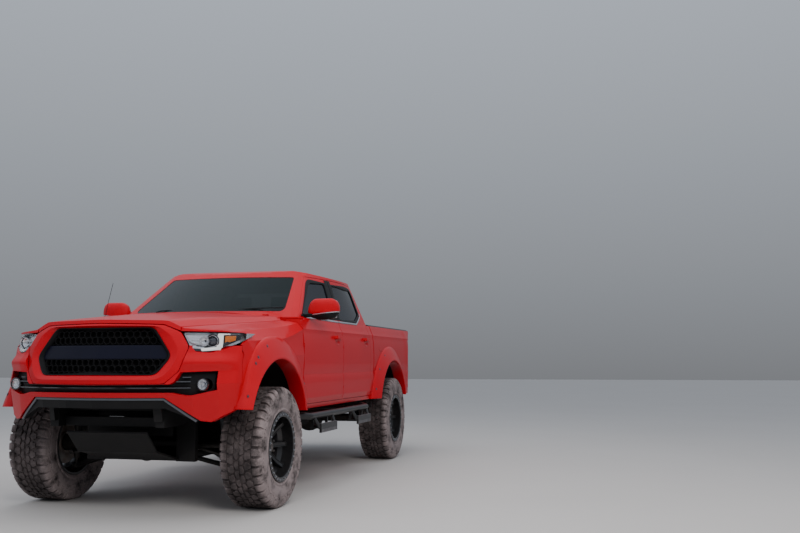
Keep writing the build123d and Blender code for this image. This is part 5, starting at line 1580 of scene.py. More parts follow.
@dataclass
class Glazing:
    """Seals, pillar trims and bright strips of the side windows, and the wipers."""

    side: CabinSide

    def hoop(self, name: str, outline: Sequence[Flat], rows: Sequence[Flat], count: int = 120) -> Piece:
        """Closed ring round a side window from rows of distance past the outline and way out."""
        middle = (sum(y for y, _ in outline) / len(outline), sum(z for _, z in outline) / len(outline))
        rays = rays_of(rounded(outline, 22), middle, count)
        table = list(rows) + [rows[0]]

        def place(u: float, v: float) -> Vector:
            """Point of one row in one direction."""
            past, out = table[round(u * (len(table) - 1))]
            cosine, sine, far = rays[round(v * count) % count]
            size = far + past
            return self.side.at(middle[0] + size * cosine, middle[1] + size * sine, out)

        return smooth(outward(spread(name, len(table) - 1, count, place)), 40)

    def sheet(self, name: str, corners: Sequence[Flat], out: float, thick: float, cells: int = 8) -> Piece:
        """Thin trim between four corners given as station and height."""

        def place(u: float, v: float) -> Vector:
            """Point between the corners."""
            return self.side.at(*amid(corners, u, v), out)

        piece = thicken(spread(name, cells, cells, place), thick, 0.0)
        return smooth(soften_edges(outward(piece), 1.2, 2), 35)

    def strip(self, name: str, line: Sequence[Flat], high: float, out: float) -> Piece:
        """Bright strip that follows a line below a window."""
        points = []
        for (y0, z0), (y1, z1) in zip(line, line[1:]):
            count = max(1, int(math.hypot(y1 - y0, z1 - z0) / 40))
            points += [(y0 + (y1 - y0) * k / count, z0 + (z1 - z0) * k / count) for k in range(count)]
        points.append(line[-1])
        rows = [(-high / 2, out - 4), (-high / 2, out), (-high / 4, out + 2.2), (high / 4, out + 2.2),
                (high / 2, out), (high / 2, out - 4)]

        def place(u: float, v: float) -> Vector:
            """Point along and across the strip."""
            k = round(u * (len(points) - 1))
            here = points[k]
            near, far = points[max(0, k - 1)], points[min(len(points) - 1, k + 1)]
            size = math.hypot(far[0] - near[0], far[1] - near[1])
            across, push = rows[round(v * (len(rows) - 1))]
            return self.side.at(here[0] - (far[1] - near[1]) / size * across,
                                here[1] + (far[0] - near[0]) / size * across, push)

        return smooth(outward(spread(name, len(points) - 1, len(rows) - 1, place)), 40)

    def place_all(self, palette: Palette) -> None:
        """Build the trims of all four doors and the wipers."""
        seal = [(-16, -6), (-15, 0.5), (-9, 2.4), (13, 3.0), (20, 1.6), (20, -3)]
        parts = {
            "front": [self.hoop("seal", FRONT_WINDOW, seal),
                      self.sheet("post", [(1548, 1400), (1638, 1398), (1637, 1764), (1582, 1764)], 1.0, 4),
                      self.sheet("sail", [(800, 1398), (905, 1402), (905, 1420), (818, 1416)], 1.2, 4)],
            "rear": [self.hoop("seal", REAR_WINDOW, seal),
                     self.sheet("post", [(1644, 1398), (1690, 1400), (1702, 1764), (1643, 1764)], 1.0, 4)],
        }
        lines = {
            "front": [(842, 1392), (1634, 1384)],
            "rear": [(1650, 1384), (2196, 1384), (2290, 1417), (2420, 1468), (2437, 1500)],
        }
        for place, pieces in parts.items():
            trim = joined(f"window_trim_{place}_left", pieces)
            bright = self.strip(f"window_strip_{place}_left", lines[place], 15, 4)
            put_pair(trim, f"door_{place}", palette.plastic, Slot.PLASTIC)
            put_pair(bright, f"door_{place}", palette.bright, Slot.STEEL)
        self.wipers(palette)

    def wipers(self, palette: Palette) -> None:
        """Arms and blades of the two wipers at the screen's foot."""
        pieces = []
        for x in (-420, 130):
            arm = [at(x, 640, 1440), at(x + 40, 650, 1452), at(x + 330, 690, 1462)]
            pieces.append(tube("arm", arm, 5, 4))
            pieces.append(tube("blade", [at(x + 60, 688, 1462), at(x + 560, 706, 1466)], 4.5, 3))
        put("wipers", pieces, palette.plastic, Slot.PLASTIC)


class Mirror:
    """Left door mirror: red cap over a black body, with a bright line between, glass and arm."""

    def shape(self, name: str, low: float, high: float, grow: float) -> Piece:
        """Rounded head between two heights, grown by a distance."""
        face = [(832, 1470), (852, 1522), (892, 1547), (1040, 1548), (1076, 1526), (1093, 1482), (1092, 1440),
                (1078, 1400), (1046, 1376), (930, 1368), (850, 1392), (826, 1430)]
        middle = (972.0, 1460.0)
        count = 72
        rays = rays_of(rounded(face, 16, 3), middle, count)
        rows = [(0.0, 0.0), (0.35, 1.5), (0.62, 6.0), (0.82, 14.0), (0.93, 25.0), (0.99, 42.0), (1.0, 58.0),
                (0.985, 80.0)]

        def place(u: float, v: float) -> Vector:
            """Point of one ring in one direction."""
            share, back = rows[round(u * (len(rows) - 1))]
            cosine, sine, far = rays[round(v * count) % count]
            size = far * share + grow * min(1.0, share * 2)
            x = middle[0] + size * cosine
            z = middle[1] + size * sine
            sweep = 846 + max(0.0, x - 960) ** 2 / 620 + max(0.0, 900 - x) * 0.12
            return at(x, sweep + back - grow, max(low, min(high, z)))

        return smooth(outward(spread(name, len(rows) - 1, count, place)), 45)

    def place_all(self, palette: Palette) -> None:
        """Build both mirrors."""
        head = thicken(self.shape("mirror_body", 1300, 1600, -1.5), 4)
        cap = self.shape("mirror_cap", 1416, 1600, 0.0)
        edit(cap)
        cut_off(at(972, 900, 1424), (0.12, 0, -1))
        done(cap)
        thicken(cap, 3)
        line = self.shape("mirror_line", 1300, 1600, 0.6)
        edit(line)
        cut_off(at(972, 900, 1426), (-0.12, 0, 1))
        cut_off(at(972, 900, 1419), (0.12, 0, -1))
        done(line)
        thicken(line, 2)
        glass = bar("mirror_pane", (874, 918, 1388), (1074, 922, 1530), 1.0)
        arm = bar("mirror_arm", (800, 858, 1394), (930, 894, 1424), 8, 3)
        turned(arm, -4, "Y", at(860, 880, 1410))
        for name, pieces, material, slot, stands in (
            ("mirror_cap", [cap], palette.paint, Slot.MIRROR, "mirror"),
            ("mirror_shell", [head, arm], palette.plastic, Slot.PLASTIC, ""),
            ("mirror_line", [line], palette.bright, Slot.STEEL, ""),
            ("mirror_glass", [glass], palette.reflector, Slot.GLASS, ""),
        ):
            put_pair(joined(name + "_left", pieces), "door_front", material, slot, stands)


# Small body parts, underbody, interior and rear end

@dataclass
class Trim:
    """Fuel door, filler strips, step treads and plates, antenna and bed details."""

    skin: NoseSkin
    side: CabinSide
    stations: tuple[float, float] = (930.0, 1940.0)

    def fuel_door(self, palette: Palette) -> None:
        """Round-cornered flap on the left side of the bed, over a dark gap."""
        flap = []
        for name, grow, out in (("gap", 3.0, 0.3), ("flap", 0.0, 1.0)):
            start, end, low, high = 2845 - grow, 3010 + grow, 1136 - grow, 1290 + grow
            outline = rounded([(start, low), (end, low), (end, high), (start, high)], 26)
            corners = [self.side.at(y, z, out - 2) for y, z in outline]
            flap.append(plate(name, corners, Vector((0.002, 0, 0)), 0.6, 1))
        finished(flap[0], "body", palette.shadow, Slot.PLASTIC)
        finished(smooth(flap[1], 30), "body", palette.paint, Slot.PAINT)

    def fillers(self, palette: Palette) -> None:
        """Painted strips that close the gaps between the bumper's ends and the fenders."""
        start, end = self.skin.run_to(868), self.skin.run_to(896)

        def place(u: float, v: float) -> Vector:
            """Point of the strip."""
            return self.skin.along(start + (end - start) * v, 720 + 380 * u, -5)

        strip = outward(thicken(spread("filler", 12, 6, place), 3))
        put("bumper_fillers", [strip], palette.paint, Slot.PAINT, 40, True)

    def steps(self, palette: Palette) -> None:
        """Ribbed treads of the side steps, and their worn outer plates and lips."""
        pads, plates = [], []
        for y in self.stations:
            pads.append(bar("pad", (916, y - 178, 508), (990, y + 178, 511), 1))
            pads += [bar("rib", (922, y - 172 + 26 * k, 510), (984, y - 160 + 26 * k, 514), 1, 1)
                     for k in range(14)]
            plates.append(bar("plate", (1012.5, y - 196, 468), (1015.5, y + 196, 492), 1.2))
            plates.append(bar("lip", (992, y - 196, 535), (1015, y + 196, 538), 1.0))
        put("step_treads", pads, palette.plastic, Slot.PLASTIC, both=True)
        put("step_plates", plates, palette.tread, Slot.STEEL, both=True)

    def antenna(self, palette: Palette) -> None:
        """Short whip on the right fender and its base."""
        base = lathed("base", [(0, 0), (0, 15), (6, 13), (14, 7), (20, 5), (20, 0)], at(-800, 470, 1336),
                      UP, 20, False)
        whip = tube("whip", [at(-800, 470, 1350), at(-804, 520, 1500), at(-810, 600, 1690)], 1.8, 8)
        put("antenna", [base, whip], palette.plastic, Slot.PLASTIC, 40)

    def bed(self, palette: Palette) -> None:
        """Ribs of the bed's floor and front wall, hooks on its sides and the caps' pockets."""
        ribs = [bar("rib", (x - 16, 2700, 902), (x + 16, 4230, 909), 3) for x in range(-500, 501, 100)]
        ribs += [bar("front_rib", (x - 20, 2676, 960), (x + 20, 2684, 1330), 3)
                 for x in range(-480, 481, 160)]
        put("bed_ribs", ribs, palette.paint, Slot.PAINT, 35)
        hooks = []
        for y in (2760.0, 3300.0, 3800.0, 4180.0):
            hooks.append(tube("hook", [at(664, y - 26, 1180), at(650, y - 26, 1150), at(646, y, 1140),
                                       at(650, y + 26, 1150), at(664, y + 26, 1180)], 4.5, 10))
        put("bed_hooks", hooks, palette.steel, Slot.STEEL, 40, True)
        pockets = [bar("pocket", (752, y - 34, 1399), (806, y + 34, 1402), 2)
                   for y in (2800.0, 3500.0, 4180.0)]
        put("rail_pockets", pockets, palette.rubber, Slot.PLASTIC, both=True)

    def place_all(self, palette: Palette) -> None:
        """Build every small part."""
        for build in (self.fuel_door, self.fillers, self.steps, self.antenna, self.bed):
            build(palette)


class Underbody:
    """Wheel liners, belly shields, front differential and half shafts."""

    def liners(self, palette: Palette) -> None:
        """Dark liners over the wheels."""
        pieces = []
        for y0, z0, size, inner, first, last in (
            (0.0, 511.0, 606.0, 455.0, 31, 165),
            (WHEELBASE, 497.0, 600.0, 640.0, 28, 152),
        ):
            def place(u: float, v: float) -> Vector:
                """Point of the liner."""
                turn = math.radians(first + (last - first) * v)
                return at(inner + (866 - inner) * u, y0 - size * math.cos(turn), z0 + size * math.sin(turn))

            sheet = thicken(spread("liner", 4, 36, place), 3, 0.0)
            pieces.append(smooth(outward(sheet), 40))
        put("wheel_liners", pieces, palette.plastic, Slot.PLASTIC, both=True)

    def belly(self, palette: Palette) -> None:
        """Shields behind the bumper, under the gearbox, behind the side steps and under the tail."""
        pieces = []
        for name, push, corners in (
            ("apron", (0, 0.004, 0), [
                (-420, -640, 905), (420, -640, 905), (420, -560, 700), (-420, -560, 700)]),
            ("shield", (0, 0.005, 0), [
                (-430, 350, 730), (430, 350, 730), (330, 420, 350), (-330, 420, 350)]),
            ("floor", (0, 0, 0.004), [
                (-430, 424, 640), (430, 424, 640), (430, 2500, 660), (-430, 2500, 660)]),
            ("web", (0, 0.004, 0), [
                (-330, -404, 520), (330, -404, 520), (330, -404, 625), (-330, -404, 625)]),
            ("guard", (0, 0.004, 0), [
                (560, 2662, 556), (812, 2662, 556), (812, 2662, 705), (560, 2662, 705)]),
            ("guard", (0, 0.004, 0), [
                (-560, 2662, 556), (-812, 2662, 556), (-812, 2662, 705), (-560, 2662, 705)]),
            ("tail", (0, 0.004, 0), [
                (-600, 4080, 700), (600, 4080, 700), (600, 4080, 880), (-600, 4080, 880)]),
        ):
            pieces.append(plate(name, [at(*p) for p in corners], Vector(push), 1.0, 1))
        put("belly_shields", pieces, palette.chassis, Slot.CHASSIS)

    def drive(self, palette: Palette) -> None:
        """Front differential with its cooling ribs, and half shafts with ribbed boots."""
        case = lathed("case", [(-120, 0), (-118, 40), (-96, 84), (-50, 108), (30, 104), (60, 70), (130, 52),
                               (140, 40), (140, 0)], at(-60, -20, 415), Vector((0, 1, 0)), 40, False)
        sleeve = lathed("sleeve", [(-150, 0), (-150, 60), (-120, 62), (-60, 46), (60, 44), (150, 58),
                                   (170, 60), (170, 0)], at(60, -20, 425), AXLE, 32, False)
        ribs = [bar("rib", (-150 + 22 * k, -60, 318), (-144 + 22 * k, 40, 512), 2) for k in range(8)]
        shaft = [(235, 0), (235, 50), (262, 52), (268, 46), (276, 50), (284, 40), (292, 44), (300, 34),
                 (308, 38), (316, 26), (330, 17), (520, 17), (528, 28), (536, 24), (546, 40), (556, 34),
                 (566, 48), (590, 50), (590, 0)]
        half = lathed("half_shaft", shaft, at(0, 0, 425), AXLE, 32, False)
        put("front_differential", [case, sleeve, *ribs], palette.cast, Slot.CHASSIS, 35)
        put("half_shafts", [half], palette.chassis, Slot.CHASSIS, 35, True)

    def place_all(self, palette: Palette) -> None:
        """Build the underbody parts."""
        for build in (self.liners, self.belly, self.drive):
            build(palette)


class Interior:
    """Padded seats on plinths, and dash details."""

    def pad(self, name: str, centre: Point, half: Point, tilt: float, grooves: Sequence[float],
            material: bpy.types.Material, stands: Sequence[str] = ()) -> None:
        """Crowned cushion with pulled-in corners and sewn channels.

        Args:
            name: Name of the piece.
            centre: Middle of the cushion.
            half: Half sizes.
            tilt: Lean backwards in degrees.
            grooves: Places of the channels across the cushion, as shares of its half width.
            material: Its cloth.
            stands: Nodes that it stands for.
        """
        clear()
        bpy.ops.mesh.primitive_cube_add(size=2)
        piece = settle(bpy.context.object, name)
        edit(piece)
        bpy.ops.mesh.subdivide(number_cuts=15)
        done(piece)
        for vertex in piece.data.vertices:
            x, y, z = vertex.co
            ball = Vector((x * math.sqrt(1 - y * y / 2 - z * z / 2 + y * y * z * z / 3),
                           y * math.sqrt(1 - z * z / 2 - x * x / 2 + z * z * x * x / 3),
                           z * math.sqrt(1 - x * x / 2 - y * y / 2 + x * x * y * y / 3)))
            soft_point = vertex.co.lerp(ball, 0.3)
            groove = sum(math.exp(-((x - place) / 0.035) ** 2) for place in grooves)
            groove += math.exp(-((abs(z) - 0.93) / 0.05) ** 2) * 0.5
            depth = 1.0 - 0.06 * groove - 0.12 * (x * x + z * z) / 2
            vertex.co = Vector((soft_point.x * half[0], soft_point.y * half[1] * depth,
                                soft_point.z * half[2])) / 1000
            vertex.co += at(*centre)
        turned(piece, tilt, "X", at(*centre))
        smooth(piece, 60)
        finished(piece, "body", material, Slot.FABRIC, list(stands))

    def seats(self, palette: Palette) -> None:
        """Two front seats and the bench."""
        bases = []
        for place, middle, half, y, heads in (
            ("left", 451.0, 212.0, 1080.0, (451,)),
            ("right", -451.0, 212.0, 1080.0, (-451,)),
            ("rear", 0.0, 662.0, 1690.0, (-440, 0, 440)),
        ):
            grooves = (-0.55, 0.55) if place != "rear" else (-0.62, -0.2, 0.2, 0.62)
            stands = ["seats"] if place == "left" else []
            self.pad(f"seat_cushion_{place}", (middle, y + 232, 945), (half, 66, 225), 92, grooves,
                     palette.fabric, stands)
            self.pad(f"seat_back_{place}", (middle, y + 570, 1180), (half, 66, 325), -15.5, grooves,
                     palette.fabric)
            for k, x in enumerate(heads):
                self.pad(f"headrest_{place}_{k}", (x, y + 682, 1606), (112, 38, 78), -8, (), palette.fabric)
                for post in (x - 45, x + 45):
                    bases.append(tube("post", [at(post, y + 650, 1490), at(post, y + 672, 1580)], 5, 8))
            left, right = middle - half + 20, middle + half - 20
            bases.append(bar("plinth", (left, y + 30, 704), (right, y + 440, 885), 12))
        put("seat_bases", bases, palette.plastic, Slot.PLASTIC, 40)

    def dash(self, palette: Palette) -> None:
        """Screen, vents, instrument hood, console and lever."""
        glass = bar("dash_screen", (-120, 845, 1120), (120, 856, 1262), 4)
        dials = bar("dials", (260, 846, 1180), (480, 858, 1268), 6)
        put("dash_displays", [glass, dials], palette.dark_glass, Slot.PLASTIC)
        parts = [bar("frame", (-134, 846, 1106), (134, 852, 1276), 4)]
        for x in (-590, -200, 200, 590):
            parts += [bar("slat", (x - 50, 844, 1196 + 14 * k), (x + 50, 856, 1202 + 14 * k), 1.5)
                      for k in range(5)]
        parts += [bar("console", (-105, 900, 716), (105, 1580, 940), 18),
                  bar("armrest", (-92, 1300, 940), (92, 1570, 1000), 22),
                  tube("lever", [at(0, 1060, 930), at(0, 1040, 1050)], 9, 12),
                  bar("knob", (-24, 1016, 1046), (24, 1064, 1106), 18, 3)]
        put("dash_details", parts, palette.plastic, Slot.PLASTIC, 40)

    def place_all(self, palette: Palette) -> None:
        """Build the interior."""
        self.seats(palette)
        self.dash(palette)


@dataclass
class RearEnd:
    """Tail lamp details, tailgate handle, bumper pads and blank plate."""

    face: float = 4340.0

    def place_all(self, palette: Palette) -> None:
        """Build the rear details."""
        face = self.face
        lamp = [bar("reverse", (802, face - 3, 1096), (832, face + 3, 1152), 3)]
        put("reverse_lamps", lamp, palette.reflector, Slot.LAMP_CLEAR, both=True)
        frame = [bar("edge", (789, face - 6, 979), (799, face + 5, 1291), 3),
                 bar("low", (789, face - 6, 979), (836, face + 5, 989), 3),
                 bar("high", (789, face - 6, 1281), (836, face + 5, 1291), 3)]
        frame += [bar("bar", (798, face - 3, z), (836, face + 4, z + 6), 1.5) for z in (1086.0, 1156.0)]
        put("tail_lamp_frames", frame, palette.gloss, Slot.PLASTIC, both=True)
        heights = (*range(1002, 1086, 14), *range(1174, 1272, 14))
        ribs = [bar("rib", (802, face - 3, z), (832, face + 2, z + 4), 1) for z in heights]
        put("tail_lamp_ribs", ribs, palette.lamp_red, Slot.LAMP_RED, both=True)
        handle = [bar("bezel", (-92, face - 16, 1253), (92, face - 12, 1307), 5),
                  bar("grip", (-78, face - 14, 1276), (78, face + 2, 1302), 7, 3)]
        finished(smooth(joined("tailgate_handle", handle), 35), "tailgate", palette.plastic, Slot.PLASTIC)
        pad = [bar("pad", (345, 4290, 884), (690, 4440, 890), 3)]
        pad += [bar("rib", (356 + 27 * k, 4300, 888), (366 + 27 * k, 4430, 892), 1, 1) for k in range(12)]
        put("rear_bumper_pad", pad, palette.plastic, Slot.PLASTIC, 35, True)
        blank_plate = bar("plate", (-155, 4474.5, 690), (155, 4476.8, 790), 0.8)
        put("rear_plate", [blank_plate], palette.satin, Slot.STEEL)


class EngineBay:
    """What shows with the hood up: engine cover, boxes, washer tank, hoses, radiator panel and towers."""

    def place_all(self, palette: Palette) -> None:
        """Build the engine bay's parts."""
        cover = [bar("cover", (-230, -400, 1238), (230, 220, 1278), 24, 3)]
        cover += [bar("rib", (-190 + 60 * k, -370, 1276), (-166 + 60 * k, 190, 1284), 3) for k in range(7)]
        for side in (-1, 1):
            cover += [lathed("coil", [(0, 0), (0, 16), (26, 15), (30, 10), (30, 0)],
                             at(side * 258, -330 + 150 * k, 1200), Vector((side * 0.5, 0, 1)), 16, False)
                      for k in range(4)]
        put("engine_cover", cover, palette.plastic, Slot.PLASTIC, 40)
        boxes = [
            bar("battery", (470, -420, 1010), (700, -230, 1190), 8),
            bar("air_box", (-720, -420, 1000), (-470, -120, 1200), 22),
            bar("fuse_box", (480, 60, 1080), (640, 260, 1190), 10),
            bar("washer", (-700, 120, 1040), (-560, 260, 1190), 20),
            bar("radiator_panel", (-520, -700, 1178), (520, -585, 1192), 5),
        ]
        hose = [at(-200, -560, 1120), at(-210, -520, 1160), at(-180, -440, 1180), at(-160, -400, 1170)]
        intake = [at(-470, -260, 1150), at(-400, -250, 1230), at(-300, -240, 1262), at(-210, -240, 1262)]
        boxes += [tube("hose", hose, 24, 16, True), tube("intake", intake, 38, 20, True)]
        put("bay_boxes", boxes, palette.plastic, Slot.PLASTIC, 40)
        posts = [lathed("post", [(0, 0), (0, 9), (16, 8), (16, 0)], at(x, -320, 1188), UP, 16, False)
                 for x in (510, 660)]
        cap = [(0, 0), (0, 38), (16, 38), (20, 30), (20, 0)]
        posts.append(lathed("cap", cap, at(0, -640, 1190), UP, 28, False))
        tower = [(0, 0), (0, 90), (8, 92), (60, 74), (66, 60), (66, 22), (78, 20), (78, 0)]
        posts += [lathed("tower", tower, at(side * 560, 0, 1090), UP, 36, False) for side in (-1, 1)]
        put("bay_metal", posts, palette.cast, Slot.CAST, 35)


class DoorCard:
    """Inner trims of the left doors, mirrored for the right: card, armrest, pocket, speaker and lever."""

    def card(self, y0: float, y1: float) -> Piece:
        """Card between two stations."""
        inner = 789.0
        speaker = lathed("speaker", [(0, 0), (4, 60), (7, 76), (3, 84), (0, 84)],
                         at(inner, (y0 + y1) / 2 - 180, 960), Vector((-1, 0, 0)), 40, False)
        parts = [bar("card", (inner, y0, 735), (inner + 9, y1, 1335), 4),
                 bar("rest", (inner - 52, y0 + 150, 1030), (inner + 4, y1 - 60, 1092), 16, 3),
                 bar("pocket", (inner - 34, y0 + 90, 765), (inner + 4, y1 - 160, 880), 12), speaker,
                 bar("lever", (inner - 14, y0 + 190, 1180), (inner, y0 + 300, 1206), 5)]
        return smooth(joined("door_card", parts), 40)

    def place_all(self, palette: Palette) -> None:
        """Build the four cards."""
        for place, y0, y1 in (("front", 700.0, 1560.0), ("rear", 1720.0, 2440.0)):
            left = self.card(y0, y1)
            left.name = f"door_card_{place}_left"
            put_pair(left, f"door_{place}", palette.plastic, Slot.PLASTIC)


def valance_edge(skin: NoseSkin, palette: Palette) -> None:
    """Satin line along the top of the valance, down its slanting ends."""
    corners = [(0.0, 797.0), (476.0, 797.0), (662.0, 651.0)]
    points = []
    for (x0, z0), (x1, z1) in zip(corners, corners[1:]):
        points += [(x0 + (x1 - x0) * k / 14, z0 + (z1 - z0) * k / 14) for k in range(14)]
    points.append(corners[-1])

    def place(u: float, v: float) -> Vector:
        """Point along and across the line."""
        x, z = points[round(u * (len(points) - 1))]
        down, out = ((0, -16), (0, -8), (5, -6.5), (14, -8), (14, -16))[round(v * 4)]
        lean = 0.6 * down if z < 796 else 0.0
        return skin.across(x - lean, z - down * (0.8 if z < 796 else 1.0), out)

    line = outward(spread("valance_edge", len(points) - 1, 4, place))
    put("valance_edge", [line], palette.satin, Slot.PLASTIC, 40, True)


# Wheels

@dataclass
class Wheel:
    """One wheel: a lugged tyre, a dished rim with a bolted ring, its nuts and cap, and a brake disc."""

    plane: float = WHEEL_PLANE * 1000
    height: float = 425.0
    blocks: int = 40
    spokes: int = 8
    ring_bolts: int = 32
    nuts: int = 6
    nut_circle: float = 69.85

    def __post_init__(self) -> None:
        """Keep the hub's place in metres."""
        self.hub = at(self.plane, 0, self.height)

    def spot(self, along: float, radius: float, sideways: float = 0.0) -> Vector:
        """Point above the hub, at a distance along the axle, a radius and a distance round the tyre."""
        return at(self.plane + along, sideways, self.height + radius)

    def around(self, piece: Piece, count: int) -> Piece:
        """Repeat a piece evenly round the axle within its own mesh."""
        edit(piece, "VERT")
        bpy.ops.mesh.spin(steps=count - 1, dupli=True, use_auto_merge=False, center=self.hub, axis=AXLE,
                          angle=2 * math.pi * (count - 1) / count)
        return done(piece)

    def ahead(self, piece: Piece, share: float, count: int) -> Piece:
        """Turn a piece round the axle by a share of the spacing of its row."""
        return turned(piece, 360 * share / count, "X", self.hub)

    def carcass(self) -> Piece:
        """Tyre body with a rim guard and a sunken band on its wall."""
        half = [(0, 414), (52, 413), (98, 410), (128, 403), (143, 390), (150, 374), (152.5, 366),
                (152.5, 352), (155.5, 348), (156.5, 334), (155.5, 312), (153, 300), (153, 292), (150.5, 288),
                (147, 274), (150, 270), (150, 263), (144, 256), (140, 247), (128, 237), (115, 234)]
        inner = [(112, 244), (130, 262), (140, 320), (134, 372), (96, 396), (0, 400)]
        section = [(-a, r) for a, r in reversed(half[1:])] + half
        section += inner + [(-a, r) for a, r in reversed(inner[:-1])]
        return smooth(lathed("carcass", section, self.hub, AXLE, 120), 40)

    def shoulder_row(self) -> Piece:
        """Outer row of tread blocks that wrap over the shoulder, long and short by turns."""
        rows = []
        for shift, reach in ((0.0, 0.0), (1.0, 12.0)):
            section = [(90, 408), (92, 424.5), (124, 423.5), (139, 415), (148, 400),
                       (152 + reach / 12, 384 - reach), (147, 380 - reach), (120, 396)]
            block = plate("block", [self.spot(a, r, -24) for a, r in section], Vector((0, 0.048, 0)), 2.4, 1)
            rows.append(self.around(self.ahead(block, shift, self.blocks), self.blocks // 2))
        return joined("shoulder", rows)

    def middle_rows(self) -> Piece:
        """Interlocking blocks between the shoulders."""
        shapes = (
            (0.35, [
                (42, -27), (62, -30), (66, -22), (85, -17), (85, 13), (70, 17), (66, 25), (44, 21), (38, 4)]),
            (0.85, [(3, -22), (20, -29), (34, -20), (36, 4), (28, 20), (14, 29), (4, 18), (8, 2)]),
        )
        rows = []
        for shift, outline in shapes:
            corners = [self.spot(a, 410, s) for a, s in outline]
            block = plate("block", corners, Vector((0, 0, 0.0145)), 2.0, 1)
            twin = turned(copy_of(block), 180, "Z", self.spot(0, 410))
            self.ahead(block, shift, self.blocks)
            self.ahead(twin, shift + 0.5, self.blocks)
            rows += [self.around(block, self.blocks), self.around(twin, self.blocks)]
        return joined("middle", rows)

    def side_lugs(self) -> Piece:
        """Small raised lugs on the outer wall below the shoulder blocks."""
        rows = []
        for shift, outline in ((0.0, [(-17, 352), (17, 352), (24, 368), (8, 372), (6, 362), (-14, 364)]),
                               (1.0, [(-20, 346), (12, 344), (18, 356), (2, 358), (-2, 366), (-18, 366)])):
            corners = [self.spot(150.5, r, s) for s, r in outline]
            lug = plate("lug", corners, Vector((0.0058, 0, 0)), 1.6, 1)
            rows.append(self.around(self.ahead(lug, shift, self.blocks), self.blocks // 2))
        return joined("lugs", rows)

    def tyre(self) -> Piece:
        """Whole tyre, with the inner shoulder as a copy of the outer one."""
        outer = [self.shoulder_row(), self.side_lugs()]
        centre = self.spot(0, 0)
        inner = [turned(copy_of(piece), 180, "Z", centre) for piece in outer]
        for piece in inner:
            self.ahead(piece, 0.5, self.blocks)
        parts = outer + inner + [self.middle_rows()]
        for part in parts:
            smooth(part, 30)
        return joined("tyre", parts + [self.carcass()])

    def rim(self) -> Piece:
        """Barrel, bolted outer ring, hub disc and grooved spokes."""
        barrel = lathed("barrel", [
            (-137, 224), (-137, 245), (-131, 246), (-131, 234), (-116, 233), (-85, 233), (-56, 205),
            (30, 205), (52, 232), (118, 233), (141, 233), (141, 246), (147, 246.5), (149, 244), (149, 240),
            (146, 238), (146, 224), (149, 222), (149, 216), (146, 213), (138, 212), (122, 219), (60, 217),
            (38, 196), (34, 190), (-58, 190), (-84, 224)], self.hub, AXLE, 96)
        section = [(8, 40), (8, 90), (14, 96), (28, 96), (35, 90), (35, 66), (31, 60), (31, 44)]
        disc = lathed("disc", section, self.hub, AXLE, 64)
        soften_edges(barrel, 1.2, 2, 40)
        section = [(8, 70), (33, 66), (37, 92), (60, 160), (93, 214), (66, 222), (38, 178), (12, 100)]
        spoke = plate("spoke", [self.spot(a, r, -17) for a, r in section], Vector((0, 0.034, 0)))
        edit(spoke)
        if choose_faces(spoke, lambda centre, normal: normal.x > 0.55):
            bpy.ops.mesh.inset(thickness=0.0055)
            bpy.ops.mesh.extrude_region_move(TRANSFORM_OT_translate={"value": (-0.005, 0, 0.001)})
        done(spoke)
        soften_edges(spoke, 1.6, 2, 30)
        self.around(spoke, self.spokes)
        return smooth(joined("rim", [barrel, disc, spoke]), 32)

    def bolts(self) -> Piece:
        """Bright bolts of the outer ring."""
        clear()
        bpy.ops.mesh.primitive_cylinder_add(
            vertices=6, radius=0.0052, depth=0.006, location=self.spot(150.5, 231),
            rotation=(0, math.pi / 2, 0))
        bolt = settle(bpy.context.object, "ring_bolt")
        edit(bolt)
        if choose_faces(bolt, lambda centre, normal: normal.x > 0.9):
            bpy.ops.mesh.inset(thickness=0.0012)
            bpy.ops.mesh.extrude_region_move(TRANSFORM_OT_translate={"value": (0.0012, 0, 0)})
        done(bolt)
        washer = lathed("washer", [(146, 0), (146, 7.2), (148.4, 7.2), (148.4, 0)],
                        self.spot(0, 231), AXLE, 12, False)
        return smooth(self.around(joined("ring_bolts", [bolt, washer]), self.ring_bolts), 30)

    def hub_parts(self) -> Piece:
        """Cap over the hub and the wheel nuts with their shanks."""
        cap = lathed("cap", [(30, 0), (30, 45), (52, 44), (60, 40), (64, 33), (64, 18), (60, 12), (60, 0)],
                     self.hub, AXLE, 48, False)
        nut = lathed("nut", [(33, 0), (33, 13), (37, 12.5), (38, 10.5), (56, 10), (60, 7), (61, 0)],
                     self.spot(0, self.nut_circle), AXLE, 6, False)
        return smooth(joined("hub_parts", [cap, self.around(nut, self.nuts)]), 30)

    def brake(self) -> Piece:
        """Vented brake disc behind the spokes."""
        section = [(-52, 66), (-52, 84), (-46, 88), (-46, 158), (-38, 158), (-38, 90), (-34, 88),
                   (-28, 92), (-28, 158), (-20, 158), (-20, 66)]
        disc = lathed("brake_disc", section, self.hub, AXLE, 72)
        return smooth(soften_edges(disc, 0.8, 1, 40), 30)

    def place_all(self, palette: Palette) -> None:
        """Build the wheel once and put copies on the four wheel bodies.

        Args:
            palette: Finishes.
        """
        parts = (
            ("tyre", self.tyre(), palette.tyre, Slot.TYRE, "tyre"),
            ("rim", self.rim(), palette.rim, Slot.RIM, "rim"),
            ("ring_bolts", self.bolts(), palette.bright, Slot.STEEL, ""),
            ("hub_parts", self.hub_parts(), palette.hub, Slot.RIM, ""),
            ("brake_disc", self.brake(), palette.steel, Slot.STEEL, ""),
        )
        for name, piece, material, slot, stands in parts:
            for place, back in (("front", 0.0), ("rear", WHEELBASE)):
                left = copy_of(piece, Vector((0, back / 1000, 0)))
                left.name = f"{name}_{place}_left_dress"
                put_pair(left, f"wheel_{place}", material, slot, f"{stands}_{place}" if stands else "")
            clear()
            bpy.data.objects.remove(piece)


# Studio

